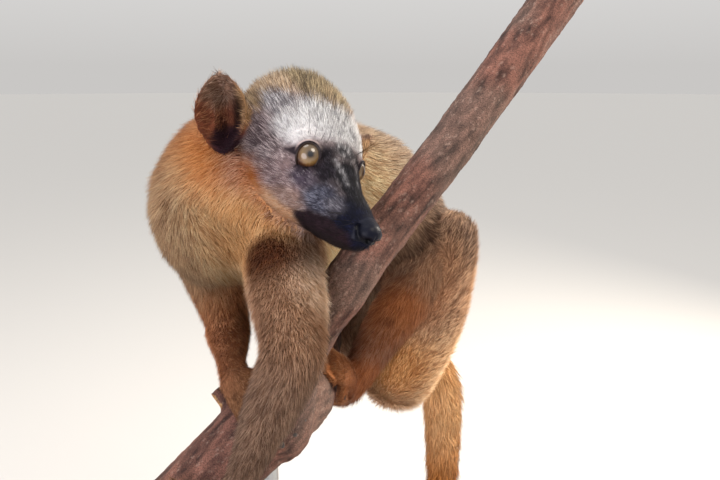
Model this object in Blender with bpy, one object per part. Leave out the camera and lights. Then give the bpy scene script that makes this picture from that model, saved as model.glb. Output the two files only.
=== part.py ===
"""Red-fronted brown lemur, life size, squatting in the fork of a cut branch on a display stand.

Metres, +Z up. The origin is the centre of the stand's underside. The chest looks to -Y, the head is
turned to the animal's left, which is +X, and every body solid reaches out to the tips of the coat.
"""

import math

import bmesh
import bpy
import numpy as np
from mathutils import Matrix, Vector

CM = 0.01  # the animal is measured in centimetres and built in metres
GAP = 0.0004  # clearance between solids that touch
BODY_SIDES = 16  # facets round the trunk and neck
LIMB_SIDES = 12
TAIL_SIDES = 10
HEAD_SIDES = 20
FLAT_ANGLE = math.radians(0.3)  # faces flatter than this to each other are merged after a cut

# Stand
BASE_SIZE = (0.32, 0.30, 0.018)
BASE_CORNER = 0.03
BASE_CHAMFER = 0.003
ROD_RADIUS = 0.005
ROD_SOCKET = 0.012  # how far a rod runs up into the branch
COLLAR_RADIUS = 0.014
COLLAR_HEIGHT = 0.006

# Head: its own axes, the point midway between the eyes, and the sizes of eyes and ears
HEAD_FORWARD = Vector((0.585, -0.793, -0.171))
HEAD_LEFT = Vector((0.717, 0.604, -0.348))
HEAD_UP = Vector((0.379, 0.081, 0.922))
HEAD_ORIGIN = Vector((-1.45, -8.55, 57.69)) * CM
EYE_RADIUS = 0.74
EYE_CENTRE = (-0.2, 1.50, 0.0)
EYE_TURN = math.radians(38)  # how far each eye looks outwards
SOCKET_RADIUS = 1.0
EAR_HEIGHT = 4.2
EAR_WIDTH = 3.0
EAR_CUP = 0.75
EAR_THICKNESS = 0.42
EAR_CENTRE = (-4.05, -4.62, 0.45)
EAR_UP = (-0.38, -0.21, 0.90)
EAR_FACING = (0.60, -0.80, 0.05)

# Skull and muzzle, back to front: distance ahead of the eyes, half width, top and underside
HEAD_STATIONS = [
    (-6.4, 3.1, 3.1, -3.3),
    (-5.5, 3.7, 4.0, -3.7),
    (-4.5, 4.0, 4.35, -3.9),
    (-3.5, 4.0, 4.1, -4.0),
    (-2.5, 3.8, 3.65, -4.0),
    (-1.5, 3.4, 3.05, -3.9),
    (-0.7, 2.9, 2.4, -3.85),
    (0.0, 2.4, 1.7, -3.8),
    (0.7, 1.9, 1.0, -3.75),
    (1.4, 1.6, 0.3, -3.75),
    (2.4, 1.32, -0.45, -3.7),
    (3.4, 1.12, -0.95, -3.55),
    (4.2, 0.95, -1.3, -3.3),
    (4.75, 0.72, -1.5, -2.9),
]

# Body lines: centre, half width across the animal, half depth
TRUNK = [
    (5.4, 9.3, 38.4, 2.4, 2.3),
    (4.9, 8.4, 41.2, 3.9, 3.8),
    (4.5, 7.2, 45.9, 4.5, 4.6),
    (2.6, 5.2, 50.5, 4.65, 4.85),
    (0.0, 2.9, 53.6, 5.2, 5.4),
    (-3.5, 0.0, 54.4, 5.3, 5.5),
    (-7.0, -2.8, 54.2, 5.3, 5.2),
    (-9.2, -4.3, 53.7, 4.6, 4.6),
]
TRUNK_LEFT = Vector((0.66, -0.75, 0.0))
NECK = [
    (-8.8, -2.5, 54.2, 4.9, 4.9),
    (-7.5, -3.6, 56.0, 4.9, 4.7),
    (-5.9, -4.6, 57.3, 4.3, 4.3),
    (-4.8, -5.2, 58.2, 3.7, 3.7),
]
TAIL = [
    (5.3, 8.7, 40.4, 1.9, 1.9),
    (7.0, 8.6, 36.4, 1.95, 1.95),
    (7.45, 8.2, 33.0, 1.95, 1.95),
    (7.6, 8.0, 26.0, 1.6, 1.6),
    (7.4, 8.0, 18.0, 1.6, 1.6),
    (7.0, 8.4, 12.0, 1.7, 1.7),
    (5.4, 9.0, 6.8, 1.75, 1.75),
    (2.0, 9.2, 4.7, 1.7, 1.7),
    (-1.8, 9.1, 5.6, 1.6, 1.6),
    (-4.2, 8.9, 8.4, 1.3, 1.3),
]

# Joints of the limbs
SHOULDER = {"left": (-4.5, -6.4, 52.4), "right": (-9.9, -3.6, 53.6)}
ELBOW = {"left": (-3.1, -13.76, 49.44), "right": (-9.3, -0.84, 45.86)}
WRIST = {"left": (-6.7, -13.6, 40.8), "right": (-7.45, -8.3, 45.35)}
HIP = {"left": (3.6, 4.3, 39.5), "right": (0.3, 8.3, 39.5)}
KNEE = {"left": (6.6, 2.9, 50.6), "right": (-0.1, 10.9, 50.6)}
ANKLE = {"left": (-0.7, -1.2, 40.3), "right": (-5.7, 3.6, 40.3)}
SEAT = {"left": (2.9, 3.4, 39.1), "right": (0.3, 8.3, 39.5)}  # the haunch, just below the hip

# Branch: stem with its rear limb, the front branch that forks from it, and a broken stub
STEM = [
    (-13.0, -13.9, 36.4, 2.35, 2.35),
    (-8.75, -10.3, 39.7, 2.25, 2.25),
    (-4.9, -7.0, 42.4, 2.5, 2.5),
    (-3.8, -4.3, 42.0, 2.3, 2.3),
    (-3.5, -1.5, 42.0, 1.95, 1.95),
    (-3.4, 1.5, 42.2, 1.9, 1.9),
    (-3.2, 4.6, 42.2, 1.85, 1.85),
]
FRONT_BRANCH = [
    (-5.0, -8.2, 41.8, 2.2, 2.2),
    (-4.0, -8.3, 45.6, 1.75, 1.75),
    (-2.5, -8.0, 48.5, 1.5, 1.5),
    (-1.1, -7.9, 50.3, 1.5, 1.5),
    (0.5, -7.3, 52.6, 1.42, 1.42),
    (5.4, -4.95, 58.5, 1.42, 1.42),
    (12.7, -0.7, 67.8, 1.48, 1.48),
]
STUB = [(-6.4, -8.3, 41.7, 0.75, 0.75), (-8.75, -7.5, 44.0, 0.4, 0.4)]
ROD_PLACES = {"stand_rod_front": (-0.1075, -0.1185), "stand_rod_rear": (-0.0559, -0.0762)}

whole_forms = {}  # each solid's mesh before its neighbours cut into it


def clear_scene():
    for item in list(bpy.data.objects):
        bpy.data.objects.remove(item, do_unlink=True)


def principled(name, colour, roughness, metallic=0.0):
    material = bpy.data.materials.new(name)
    material.use_nodes = True
    shader = material.node_tree.nodes["Principled BSDF"]
    shader.inputs["Base Color"].default_value = (*colour, 1.0)
    shader.inputs["Roughness"].default_value = roughness
    shader.inputs["Metallic"].default_value = metallic
    return material


def add_object(name, mesh, colour, roughness=0.85, metallic=0.0):
    mesh.name = name
    mesh.materials.clear()
    mesh.materials.append(principled(name, colour, roughness, metallic))
    item = bpy.data.objects.new(name, mesh)
    bpy.context.scene.collection.objects.link(item)
    return item


def mesh_from(build):
    """A mesh from a bmesh, with its normals turned outwards."""
    bmesh.ops.recalc_face_normals(build, faces=build.faces)
    mesh = bpy.data.meshes.new("shape")
    build.to_mesh(mesh)
    build.free()
    return mesh


def head_point(x, y, z):
    """A point given ahead, left and above the middle of the eyes, in centimetres."""
    offset = HEAD_FORWARD * x + HEAD_LEFT * y + HEAD_UP * z
    return HEAD_ORIGIN + offset * CM


def head_direction(x, y, z):
    return (HEAD_FORWARD * x + HEAD_LEFT * y + HEAD_UP * z).normalized()


def spline(stations, steps):
    """Rows of a smooth curve through the stations, with the given steps between two of them."""
    rows = np.array(stations, dtype=float)
    padded = np.vstack([2 * rows[0] - rows[1], rows, 2 * rows[-1] - rows[-2]])
    curve = []
    for start in range(len(rows) - 1):
        before, left, right, after = padded[start : start + 4]
        for t in np.arange(steps) / steps:
            bend = 2 * before - 5 * left + 4 * right - after
            twist = 3 * left - before - 3 * right + after
            curve.append(left + 0.5 * t * ((right - before) + t * (bend + t * twist)))
    curve.append(rows[-1])
    return np.array(curve)


def tube_rings(stations, side, steps=3):
    """Centre, tangent, side, up, half width and half depth of each ring along a body line."""
    rows = spline(stations, steps)
    centres = [Vector(row[:3]) * CM for row in rows]
    rings = []
    for index, row in enumerate(rows):
        ahead = centres[min(index + 1, len(rows) - 1)]
        behind = centres[max(index - 1, 0)]
        tangent = (ahead - behind).normalized()
        across = (side - tangent * side.dot(tangent)).normalized()
        above = tangent.cross(across)
        rings.append((centres[index], tangent, across, above, row[3] * CM, row[4] * CM))
    return rings


def rounded_end(ring, outwards, reach):
    """Rings that close a tube in a dome which reaches past the last ring."""
    centre, tangent, across, above, width, depth = ring
    dome = []
    for angle in (32, 62):
        rise = math.sin(math.radians(angle)) * reach * outwards
        fall = math.cos(math.radians(angle))
        dome.append((centre + tangent * rise, tangent, across, above, width * fall, depth * fall))
    return dome, centre + tangent * reach * outwards


def loft(rings, sides, round_start=True, round_end=True, dome=0.9):
    """A closed mesh through the rings, whose ends are domes or flat cuts."""
    rings = list(rings)
    start_tip = end_tip = None
    if round_start:
        extra, start_tip = rounded_end(rings[0], -1, dome * min(rings[0][4:]))
        rings = extra[::-1] + rings
    if round_end:
        extra, end_tip = rounded_end(rings[-1], 1, dome * min(rings[-1][4:]))
        rings = rings + extra
    build = bmesh.new()
    loops = []
    for centre, _, across, above, width, depth in rings:
        loop = []
        for turn in np.arange(sides) * 2 * math.pi / sides:
            offset = across * math.cos(turn) * width + above * math.sin(turn) * depth
            loop.append(build.verts.new(centre + offset))
        loops.append(loop)
    for near, far in zip(loops, loops[1:]):
        for index in range(sides):
            after = (index + 1) % sides
            build.faces.new((near[index], near[after], far[after], far[index]))
    for loop, tip in ((loops[0], start_tip), (loops[-1], end_tip)):
        if tip is None:
            build.faces.new(loop)
            continue
        point = build.verts.new(tip)
        for index in range(sides):
            build.faces.new((loop[index], loop[(index + 1) % sides], point))
    return mesh_from(build)


def lengths(rings, cuts):
    """The rings parted at the given ring numbers; each later length starts one gap further on."""
    parts = []
    edges = [0, *cuts, len(rings) - 1]
    for order, (first, last) in enumerate(zip(edges, edges[1:])):
        part = list(rings[first : last + 1])
        if order:
            centre, tangent, *rest = part[0]
            part[0] = (centre + tangent * GAP, tangent, *rest)
        parts.append(part)
    return parts


def apply_modifiers(item):
    """Replaces an object's mesh with what its modifiers make of it."""
    view = bpy.context.evaluated_depsgraph_get()
    mesh = bpy.data.meshes.new_from_object(item.evaluated_get(view))
    item.modifiers.clear()
    item.data = mesh


def boolean(item, other, operation):
    modifier = item.modifiers.new(operation, "BOOLEAN")
    modifier.operation = operation
    modifier.solver = "EXACT"
    modifier.object = other
    apply_modifiers(item)


def grown(item, amount):
    """An object's whole form, larger by an even amount, to cut its neighbours with."""
    build = bmesh.new()
    build.from_mesh(whole_forms.get(item.name, item.data))
    build.normal_update()
    moves = [vert.normal * vert.calc_shell_factor() * amount for vert in build.verts]
    for vert, move in zip(build.verts, moves):
        vert.co += move if move.length < 3 * amount else move.normalized() * 3 * amount
    mesh = bpy.data.meshes.new("grown")
    build.to_mesh(mesh)
    build.free()
    copy = bpy.data.objects.new("grown", mesh)
    bpy.context.scene.collection.objects.link(copy)
    return copy


def box_of(item):
    corners = np.array([vert.co[:] for vert in item.data.vertices])
    return corners.min(axis=0) - GAP, corners.max(axis=0) + GAP


def touch(item, other):
    low, high = box_of(item)
    other_low, other_high = box_of(other)
    return bool(np.all(low < other_high) and np.all(other_low < high))


def islands(build):
    """The separate bodies of a bmesh, as lists of vertices, the largest first."""
    left = set(build.verts)
    found = []
    while left:
        stack = [left.pop()]
        body = []
        while stack:
            vert = stack.pop()
            body.append(vert)
            for edge in vert.link_edges:
                other = edge.other_vert(vert)
                if other in left:
                    left.remove(other)
                    stack.append(other)
        found.append(body)
    return sorted(found, key=len, reverse=True)


def tidy_mesh(item):
    """Keeps the main body of a carved solid and merges the specks that a cut leaves."""
    build = bmesh.new()
    build.from_mesh(item.data)
    for body in islands(build)[1:]:
        bmesh.ops.delete(build, geom=body, context="VERTS")
    bmesh.ops.dissolve_limit(build, angle_limit=FLAT_ANGLE, verts=build.verts, edges=build.edges)
    bmesh.ops.triangulate(build, faces=build.faces)
    build.to_mesh(item.data)
    build.free()


def carve(item, others):
    """Cuts away whatever the other solids' whole forms fill, with one gap all round them."""
    whole_forms[item.name] = item.data.copy()
    for other in others:
        if other is item or not touch(item, other):
            continue
        cutter = grown(other, GAP)
        boolean(item, cutter, "DIFFERENCE")
        bpy.data.objects.remove(cutter, do_unlink=True)
    tidy_mesh(item)


def joined(meshes):
    """One mesh holding all the given ones."""
    build = bmesh.new()
    for mesh in meshes:
        build.from_mesh(mesh)
    return mesh_from(build)


def fused(name, meshes, voxel, triangles, colour):
    """Overlapping shapes melted into one skin, thinned to about the given number of triangles."""
    item = add_object(name, joined(meshes), colour)
    melt = item.modifiers.new("melt", "REMESH")
    melt.mode = "VOXEL"
    melt.voxel_size = voxel
    apply_modifiers(item)
    soften = item.modifiers.new("soften", "SMOOTH")
    soften.factor = 0.5
    soften.iterations = 3
    apply_modifiers(item)
    faces = sum(len(polygon.vertices) - 2 for polygon in item.data.polygons)
    thin = item.modifiers.new("thin", "DECIMATE")
    thin.ratio = min(1.0, triangles / faces)
    apply_modifiers(item)
    return item


def ball(centre, radius, segments=12, rings=8, axis=None):
    build = bmesh.new()
    bmesh.ops.create_uvsphere(build, u_segments=segments, v_segments=rings, radius=radius)
    turn = Matrix.Identity(4) if axis is None else axis.to_track_quat("Z", "Y").to_matrix().to_4x4()
    bmesh.ops.transform(build, matrix=Matrix.Translation(centre) @ turn, verts=build.verts)
    return mesh_from(build)


def slab(size, corner, chamfer):
    """A flat plate with round corners in plan and chamfered edges, standing on Z = 0."""
    half_x, half_y, height = size[0] / 2, size[1] / 2, size[2]
    build = bmesh.new()
    loops = []
    for inset, level in ((chamfer, 0), (0, chamfer), (0, height - chamfer), (chamfer, height)):
        loop = []
        for quarter in range(4):
            sign_x = 1 if quarter in (0, 3) else -1
            sign_y = 1 if quarter in (0, 1) else -1
            for step in range(4):
                turn = math.radians(90 * quarter + 30 * step)
                reach = corner - inset
                x = sign_x * (half_x - corner) + reach * math.cos(turn)
                y = sign_y * (half_y - corner) + reach * math.sin(turn)
                loop.append(build.verts.new((x, y, level)))
        loops.append(loop)
    for low, high in zip(loops, loops[1:]):
        for index in range(len(low)):
            after = (index + 1) % len(low)
            build.faces.new((low[index], low[after], high[after], high[index]))
    build.faces.new(loops[0])
    build.faces.new(loops[-1])
    return mesh_from(build)


def upright_rod(place, bottom, top, radius, sides=12):
    build = bmesh.new()
    middle = Matrix.Translation((place[0], place[1], (bottom + top) / 2))
    bmesh.ops.create_cone(
        build, cap_ends=True, segments=sides, radius1=radius, radius2=radius, depth=top - bottom
    )
    bmesh.ops.transform(build, matrix=middle, verts=build.verts)
    return mesh_from(build)


def limb(stations, side, sides=LIMB_SIDES, steps=2):
    return loft(tube_rings(stations, side, steps), sides)


def between(start, end, amount, shift=(0, 0, 0)):
    """A point part of the way from one joint to the next, moved off the line by a shift."""
    return tuple(a + (b - a) * amount + c for a, b, c in zip(start, end, shift))


def make_perch():
    colour = (0.20, 0.125, 0.10)
    side = Vector((0.6, -0.6, 0.5))
    perch = add_object("perch_branch", loft(tube_rings(STEM, side, 2), 14, False, False), colour)
    for stations, sides in ((FRONT_BRANCH, 12), (STUB, 7)):
        rings = tube_rings(stations, side, 2)
        branch = add_object("branch", loft(rings, sides, True, False), colour)
        boolean(perch, branch, "UNION")
        bpy.data.objects.remove(branch, do_unlink=True)
    return perch


def underside_height(perch, place):
    """How high above the floor a vertical line at the place first meets the branch."""
    start = Vector((place[0], place[1], 0.0))
    hit, point, _, _ = perch.ray_cast(start, Vector((0, 0, 1)))
    return point.z if hit else start.z


def make_stand(perch):
    painted = (0.03, 0.03, 0.032)
    base = add_object("stand_base", slab(BASE_SIZE, BASE_CORNER, BASE_CHAMFER), painted, 0.5)
    parts = [base]
    top_of_base = BASE_SIZE[2] + GAP
    for name, place in ROD_PLACES.items():
        top = underside_height(perch, place) + ROD_SOCKET
        rod = add_object(name, upright_rod(place, top_of_base, top, ROD_RADIUS), painted, 0.4, 0.9)
        collar_mesh = upright_rod(place, top_of_base, top_of_base + COLLAR_HEIGHT, COLLAR_RADIUS, 16)
        collar = add_object(name.replace("rod", "collar"), collar_mesh, painted, 0.4, 0.9)
        carve(collar, [rod])
        parts += [rod, collar]
        carve(perch, [rod])
    return parts


def make_eyes():
    eyes = []
    for name, hand in (("eye_left", 1), ("eye_right", -1)):
        look = head_direction(math.cos(EYE_TURN), hand * math.sin(EYE_TURN), 0.03)
        centre = head_point(EYE_CENTRE[0], hand * EYE_CENTRE[1], EYE_CENTRE[2])
        eye = add_object(name, ball(centre, EYE_RADIUS * CM, axis=look), (0.55, 0.33, 0.05), 0.1)
        eyes.append(eye)
    return eyes


def head_rings():
    """Cross-sections of the skull and muzzle, each a little narrower below than above."""
    rows = spline(HEAD_STATIONS, 1)
    rings = []
    for ahead, width, top, bottom in rows:
        centre = head_point(ahead, 0, (top + bottom) / 2)
        depth = (top - bottom) / 2
        rings.append((centre, HEAD_FORWARD, HEAD_LEFT, HEAD_UP, width * CM, depth * CM))
    return rings


def make_head(eyes):
    head = add_object("head", loft(head_rings(), HEAD_SIDES, dome=0.75), (0.30, 0.27, 0.25))
    for hand in (1, -1):
        look = head_direction(math.cos(EYE_TURN), hand * math.sin(EYE_TURN), 0.03)
        centre = head_point(EYE_CENTRE[0], hand * EYE_CENTRE[1], EYE_CENTRE[2])
        dish = ball(centre + look * SOCKET_RADIUS * 1.15 * CM, SOCKET_RADIUS * CM, 12, 6)
        cutter = add_object("socket", dish, (0.1, 0.1, 0.1))
        boolean(head, cutter, "DIFFERENCE")
        bpy.data.objects.remove(cutter, do_unlink=True)
    carve(head, eyes)
    return head


def ear_mesh(hand):
    """A rounded cup of even thickness, open forwards and outwards."""
    up = Vector(EAR_UP).normalized()
    facing = Vector(EAR_FACING)
    facing = (facing - up * facing.dot(up)).normalized()
    across = up.cross(facing)
    build = bmesh.new()
    rows, columns = 4, 8
    sheets = []
    for back in (0.0, -EAR_THICKNESS):
        sheet = [build.verts.new(ear_point(up, facing, across, 0, 0, back, hand))]
        for row in range(1, rows + 1):
            for column in range(columns * 2):
                turn = math.pi * column / columns
                radius = row / rows
                place = ear_point(up, facing, across, radius, turn, back, hand)
                sheet.append(build.verts.new(place))
        sheets.append(sheet)
    count = columns * 2
    for sheet in sheets:
        for column in range(count):
            after = (column + 1) % count
            build.faces.new((sheet[0], sheet[1 + column], sheet[1 + after]))
            for row in range(rows - 1):
                near = 1 + row * count
                far = near + count
                quad = (near + column, near + after, far + after, far + column)
                build.faces.new([sheet[index] for index in quad])
    rim = 1 + (rows - 1) * count
    for column in range(count):
        after = (column + 1) % count
        front, rear = sheets
        quad = (front[rim + column], front[rim + after], rear[rim + after], rear[rim + column])
        build.faces.new(quad)
    return mesh_from(build)


def ear_point(up, facing, across, radius, turn, back, hand):
    """A point of the ear's cup, from its middle out to the rim, the lower part drawn narrower."""
    high = math.sin(turn) * radius
    wide = math.cos(turn) * radius * (1.0 - 0.18 * max(0.0, -high))
    bulge = EAR_CUP * (radius**2 - 0.35)
    thickness = back * (1.0 - 0.35 * radius**4)
    offset = up * high * EAR_HEIGHT / 2 + across * wide * EAR_WIDTH / 2 + facing * (bulge + thickness)
    x, y, z = Vector(EAR_CENTRE) + offset
    return head_point(x, -hand * y, z)


def make_ears(head):
    ears = []
    for name, hand in (("ear_left", 1), ("ear_right", -1)):
        ear = add_object(name, ear_mesh(hand), (0.33, 0.22, 0.16))
        carve(ear, [head])
        ears.append(ear)
    return ears


def make_trunk(others):
    """Neck, chest, loin and rump."""
    brown = (0.36, 0.26, 0.17)
    neck = add_object("neck", loft(tube_rings(NECK, TRUNK_LEFT, 2), BODY_SIDES), (0.48, 0.30, 0.15))
    carve(neck, others)
    rings = tube_rings(TRUNK, TRUNK_LEFT, 2)
    parts = [neck]
    ends = ((True, False), (False, False), (False, True))
    for name, part, (start, end) in zip(("rump", "loin", "chest"), lengths(rings, (5, 9)), ends):
        solid = add_object(name, loft(part, BODY_SIDES, start, end, 0.8), brown)
        carve(solid, [*others, neck])
        parts.append(solid)
    return parts


def make_tail(others):
    rings = tube_rings(TAIL, TRUNK_LEFT, 2)
    parts = []
    cuts = (4, 9, 13)
    for order, part in enumerate(lengths(rings, cuts)):
        first, last = order == 0, order == len(cuts)
        mesh = loft(part, TAIL_SIDES, first, last, 1.4 if last else 0.8)
        solid = add_object(f"tail_{order + 1}", mesh, (0.55, 0.27, 0.08))
        if first:
            carve(solid, others)
        parts.append(solid)
    return parts


def make_arm(hand, others):
    shoulder, elbow, wrist = SHOULDER[hand], ELBOW[hand], WRIST[hand]
    side = Vector((0.3, 0.2, 1.0)) if hand == "left" else Vector((1.0, 0.2, 0.1))
    upper = limb(
        [
            (*shoulder, 2.9, 2.8),
            (*between(shoulder, elbow, 0.45), 2.5, 2.45),
            (*elbow, 1.85, 1.85),
        ],
        side,
    )
    lower = limb(
        [
            (*between(elbow, wrist, 0.03), 1.8, 1.8),
            (*between(elbow, wrist, 0.35), 1.65, 1.6),
            (*between(elbow, wrist, 0.7), 1.15, 1.1),
            (*between(elbow, wrist, 0.97), 0.92, 0.9),
        ],
        Vector((1.0, 0.3, 0.0)),
    )
    upper_arm = add_object(f"upper_arm_{hand}", upper, (0.30, 0.23, 0.16))
    carve(upper_arm, others)
    forearm = add_object(f"forearm_{hand}", lower, (0.32, 0.25, 0.18))
    carve(forearm, [*others, upper_arm])
    return [upper_arm, forearm]


def make_leg(hand, others):
    hip, knee, ankle = HIP[hand], KNEE[hand], ANKLE[hand]
    outward = TRUNK_LEFT * (1 if hand == "left" else -1)
    bow = tuple(outward * 0.4)
    calf = tuple(outward * 0.3 + Vector((-0.6, -0.5, 0.3)))
    thigh = limb(
        [
            (*SEAT[hand], 3.2, 3.6),
            (*between(hip, knee, 0.35, bow), 3.2, 3.6),
            (*between(hip, knee, 0.7, bow), 2.9, 3.1),
            (*knee, 2.6, 2.6),
        ],
        outward,
    )
    shank = limb(
        [
            (*between(knee, ankle, 0.06), 2.1, 2.2),
            (*between(knee, ankle, 0.4, calf), 2.1, 2.3),
            (*between(knee, ankle, 0.75, calf), 1.6, 1.7),
            (*between(knee, ankle, 0.98), 1.15, 1.2),
        ],
        outward,
    )
    upper = add_object(f"thigh_{hand}", thigh, (0.36, 0.25, 0.15))
    carve(upper, others)
    lower = add_object(f"lower_leg_{hand}", shank, (0.42, 0.26, 0.12))
    carve(lower, [*others, upper])
    return [upper, lower]


class Grasp:
    """Polar places round a branch, counted from where the wrist or ankle stands over it."""

    def __init__(self, joint, axis_start, axis_end, radius, turn):
        start, end = Vector(axis_start[:3]), Vector(axis_end[:3])
        self.along = (end - start).normalized()
        offset = Vector(joint) - start
        self.centre = start + self.along * offset.dot(self.along)
        self.reach = (Vector(joint) - self.centre).length
        self.outward = (Vector(joint) - self.centre) / self.reach
        self.onward = self.along.cross(self.outward) * turn
        self.radius = radius

    def place(self, degrees, height, advance, width, depth):
        """A tube station at an angle round the branch and a height over its bark."""
        turn = math.radians(degrees)
        spoke = self.outward * math.cos(turn) + self.onward * math.sin(turn)
        point = self.centre + self.along * advance + spoke * (self.radius + height)
        return (*point, width, depth)


def make_hand(name, grasp, palm, digits, thumb, others, colour, triangles):
    """A hand or foot that grips the branch: palm or sole, four long digits and a thumb."""
    lift = grasp.reach - grasp.radius
    meshes = []
    palm_side = grasp.along
    stations = [grasp.place(angle, lift * near + high, move, wide, thick)
                for angle, near, high, move, wide, thick in palm]
    meshes.append(loft(tube_rings(stations, palm_side, 3), 14))
    start, sweep, spread, lean, size = digits
    for order in range(4):
        offset = (order - 1.5) * spread
        reach = 1.0 - 0.10 * abs(order - 1.3)
        row = []
        for step in range(4):
            angle = start + sweep * reach * step / 3
            move = lean + offset * (1.0 + 0.25 * step / 3)
            row.append(grasp.place(angle, size * 1.02, move, size * (1.1 - 0.08 * step), size))
        meshes.append(loft(tube_rings(row, palm_side, 2), 8))
    start, sweep, move, size = thumb
    row = [grasp.place(start + sweep * step / 3, size * (1.25 - 0.1 * step), move, size, size)
           for step in range(4)]
    meshes.append(loft(tube_rings(row, palm_side, 2), 8))
    solid = fused(name, meshes, 0.0013, triangles, colour)
    carve(solid, others)
    return solid


def make_hands(perch, limbs):
    """Both hands hold the stem below the fork."""
    dark = (0.22, 0.15, 0.10)
    palm = [(0, 0.9, 0.0, 0.0, 1.0, 0.9), (18, 0.45, 0.3, 0.1, 1.3, 0.75), (42, 0.1, 0.55, 0.2, 1.5, 0.6)]
    solids = []
    for hand, start, end, radius, reach, thumb_side in (
        ("left", STEM[1], STEM[0], 2.3, 64, 1.3),
        ("right", STEM[2], STEM[1], 2.4, 58, -1.3),
    ):
        digits = (38, reach, 0.75, 0.2, 0.34)
        thumb = (10, -62, thumb_side, 0.36)
        grasp = Grasp(WRIST[hand], start, end, radius, -1)
        others = [perch, *limbs]
        solids.append(make_hand(f"hand_{hand}", grasp, palm, digits, thumb, others, dark, 240))
        limbs = [*limbs, solids[-1]]
    return solids


def make_feet(perch, limbs):
    """The feet clasp the rear limb from both sides, soles against it and toes over its top."""
    orange = (0.50, 0.24, 0.07)
    solids = []
    for hand, turn, ahead in (("left", -1, -1.0), ("right", 1, -1.0)):
        sole = [
            (-24, 0.55, 0.2, -ahead * 0.5, 0.8, 0.8),
            (0, 0.6, 0.2, 0.0, 1.05, 1.0),
            (38, 0.15, 0.6, ahead * 1.2, 1.15, 0.75),
            (72, 0.0, 0.62, ahead * 2.3, 1.45, 0.62),
        ]
        digits = (66, 78, 0.68, ahead * 2.5, 0.33)
        thumb = (36, -14, ahead * 2.8, 0.40)
        grasp = Grasp(ANKLE[hand], STEM[4], STEM[5], 1.98, turn)
        others = [perch, *limbs]
        solids.append(make_hand(f"foot_{hand}", grasp, sole, digits, thumb, others, orange, 300))
        limbs = [*limbs, solids[-1]]
    return solids


def main():
    clear_scene()
    perch = make_perch()
    make_stand(perch)
    eyes = make_eyes()
    head = make_head(eyes)
    ears = make_ears(head)
    trunk = make_trunk([perch, head, *ears])
    made = [perch, head, *trunk]
    for hand in ("left", "right"):
        made += make_leg(hand, made)
    for hand in ("left", "right"):
        made += make_arm(hand, made)
    make_tail(made)
    limbs = [item for item in made if item is not perch]
    hands = make_hands(perch, limbs)
    make_feet(perch, [*limbs, *hands])


main()
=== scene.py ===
# %% [markdown]
# # A red-fronted brown lemur in the fork of a branch
# This is a still, life-size model such as a museum shows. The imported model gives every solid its
# place, in metres. Here the flesh gets one skin, a coat of solid tufts and glass-like eyes, the
# branch gets its bark, and the stand gets its wood and steel.

# %% Load the frame
import math

import bpy
import numpy as np
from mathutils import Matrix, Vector
from mathutils.bvhtree import BVHTree
from mathutils.kdtree import KDTree


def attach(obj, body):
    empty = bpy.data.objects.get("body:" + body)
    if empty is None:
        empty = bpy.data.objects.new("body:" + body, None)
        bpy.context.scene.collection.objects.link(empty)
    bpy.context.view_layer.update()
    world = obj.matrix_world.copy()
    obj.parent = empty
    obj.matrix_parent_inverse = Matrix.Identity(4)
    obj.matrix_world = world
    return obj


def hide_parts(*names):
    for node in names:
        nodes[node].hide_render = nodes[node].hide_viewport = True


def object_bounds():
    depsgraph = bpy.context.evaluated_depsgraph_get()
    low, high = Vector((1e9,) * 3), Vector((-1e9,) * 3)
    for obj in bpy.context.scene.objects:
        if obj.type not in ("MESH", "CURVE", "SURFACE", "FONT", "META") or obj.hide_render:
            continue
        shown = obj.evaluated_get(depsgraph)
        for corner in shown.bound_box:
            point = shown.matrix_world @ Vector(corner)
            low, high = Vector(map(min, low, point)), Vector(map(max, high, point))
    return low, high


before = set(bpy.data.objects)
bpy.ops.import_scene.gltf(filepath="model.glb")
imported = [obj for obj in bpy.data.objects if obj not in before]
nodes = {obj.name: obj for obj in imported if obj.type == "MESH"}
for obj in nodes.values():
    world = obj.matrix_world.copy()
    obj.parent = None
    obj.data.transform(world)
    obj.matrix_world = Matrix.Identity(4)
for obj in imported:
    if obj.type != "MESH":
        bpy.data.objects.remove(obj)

CM = 0.01
MM = 0.001
cad_low, cad_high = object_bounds()
print("CAD box", [round(v, 4) for v in cad_low], [round(v, 4) for v in cad_high])

# %% [markdown]
# ## Camera, floor and lights
# A mount is looked at from close by, a little above its head. The camera is made first, because
# every later choice of tuft size depends on how near it stands. The floor is one plain pale disc.
# Big soft lamps stand where a studio puts them: a warm key from above, a fill, and one behind
# that draws a light edge on the coat. A few small helpers come before them, for every later cell.

# %% Helpers for objects and meshes


def lone(thing):
    """Leave only this object selected, and make it the active one."""
    bpy.ops.object.select_all(action="DESELECT")
    thing.select_set(True)
    bpy.context.view_layer.objects.active = thing


def placed(name, mesh):
    """A new object that holds a mesh."""
    thing = bpy.data.objects.new(name, mesh)
    bpy.context.scene.collection.objects.link(thing)
    return thing


def joined(things):
    """The first of some objects, with all the others joined into it."""
    lone(things[0])
    for thing in things[1:]:
        thing.select_set(True)
    bpy.ops.object.join()
    return things[0]


def edit_all(thing, *steps):
    """Run operators, each with its settings, on all of a mesh in Edit Mode."""
    lone(thing)
    bpy.ops.object.mode_set(mode="EDIT")
    bpy.ops.mesh.select_all(action="SELECT")
    for operator, settings in steps:
        operator(**settings)
    bpy.ops.object.mode_set(mode="OBJECT")


def apply_modifier(thing, kind, **settings):
    """Add one modifier with its settings and apply it."""
    lone(thing)
    modifier = thing.modifiers.new(kind.lower(), kind)
    for name, value in settings.items():
        setattr(modifier, name, value)
    bpy.ops.object.modifier_apply(modifier=modifier.name)


def grid(data, name, width, kind=np.float32):
    """All of one property of a mesh's items, as rows."""
    out = np.empty(len(data) * width, kind)
    data.foreach_get(name, out)
    return out.reshape(-1, width)


def points_of(thing, name="co"):
    """The places of a mesh's points, or another property that has three numbers."""
    return grid(thing.data.vertices, name, 3).astype(float)


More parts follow.
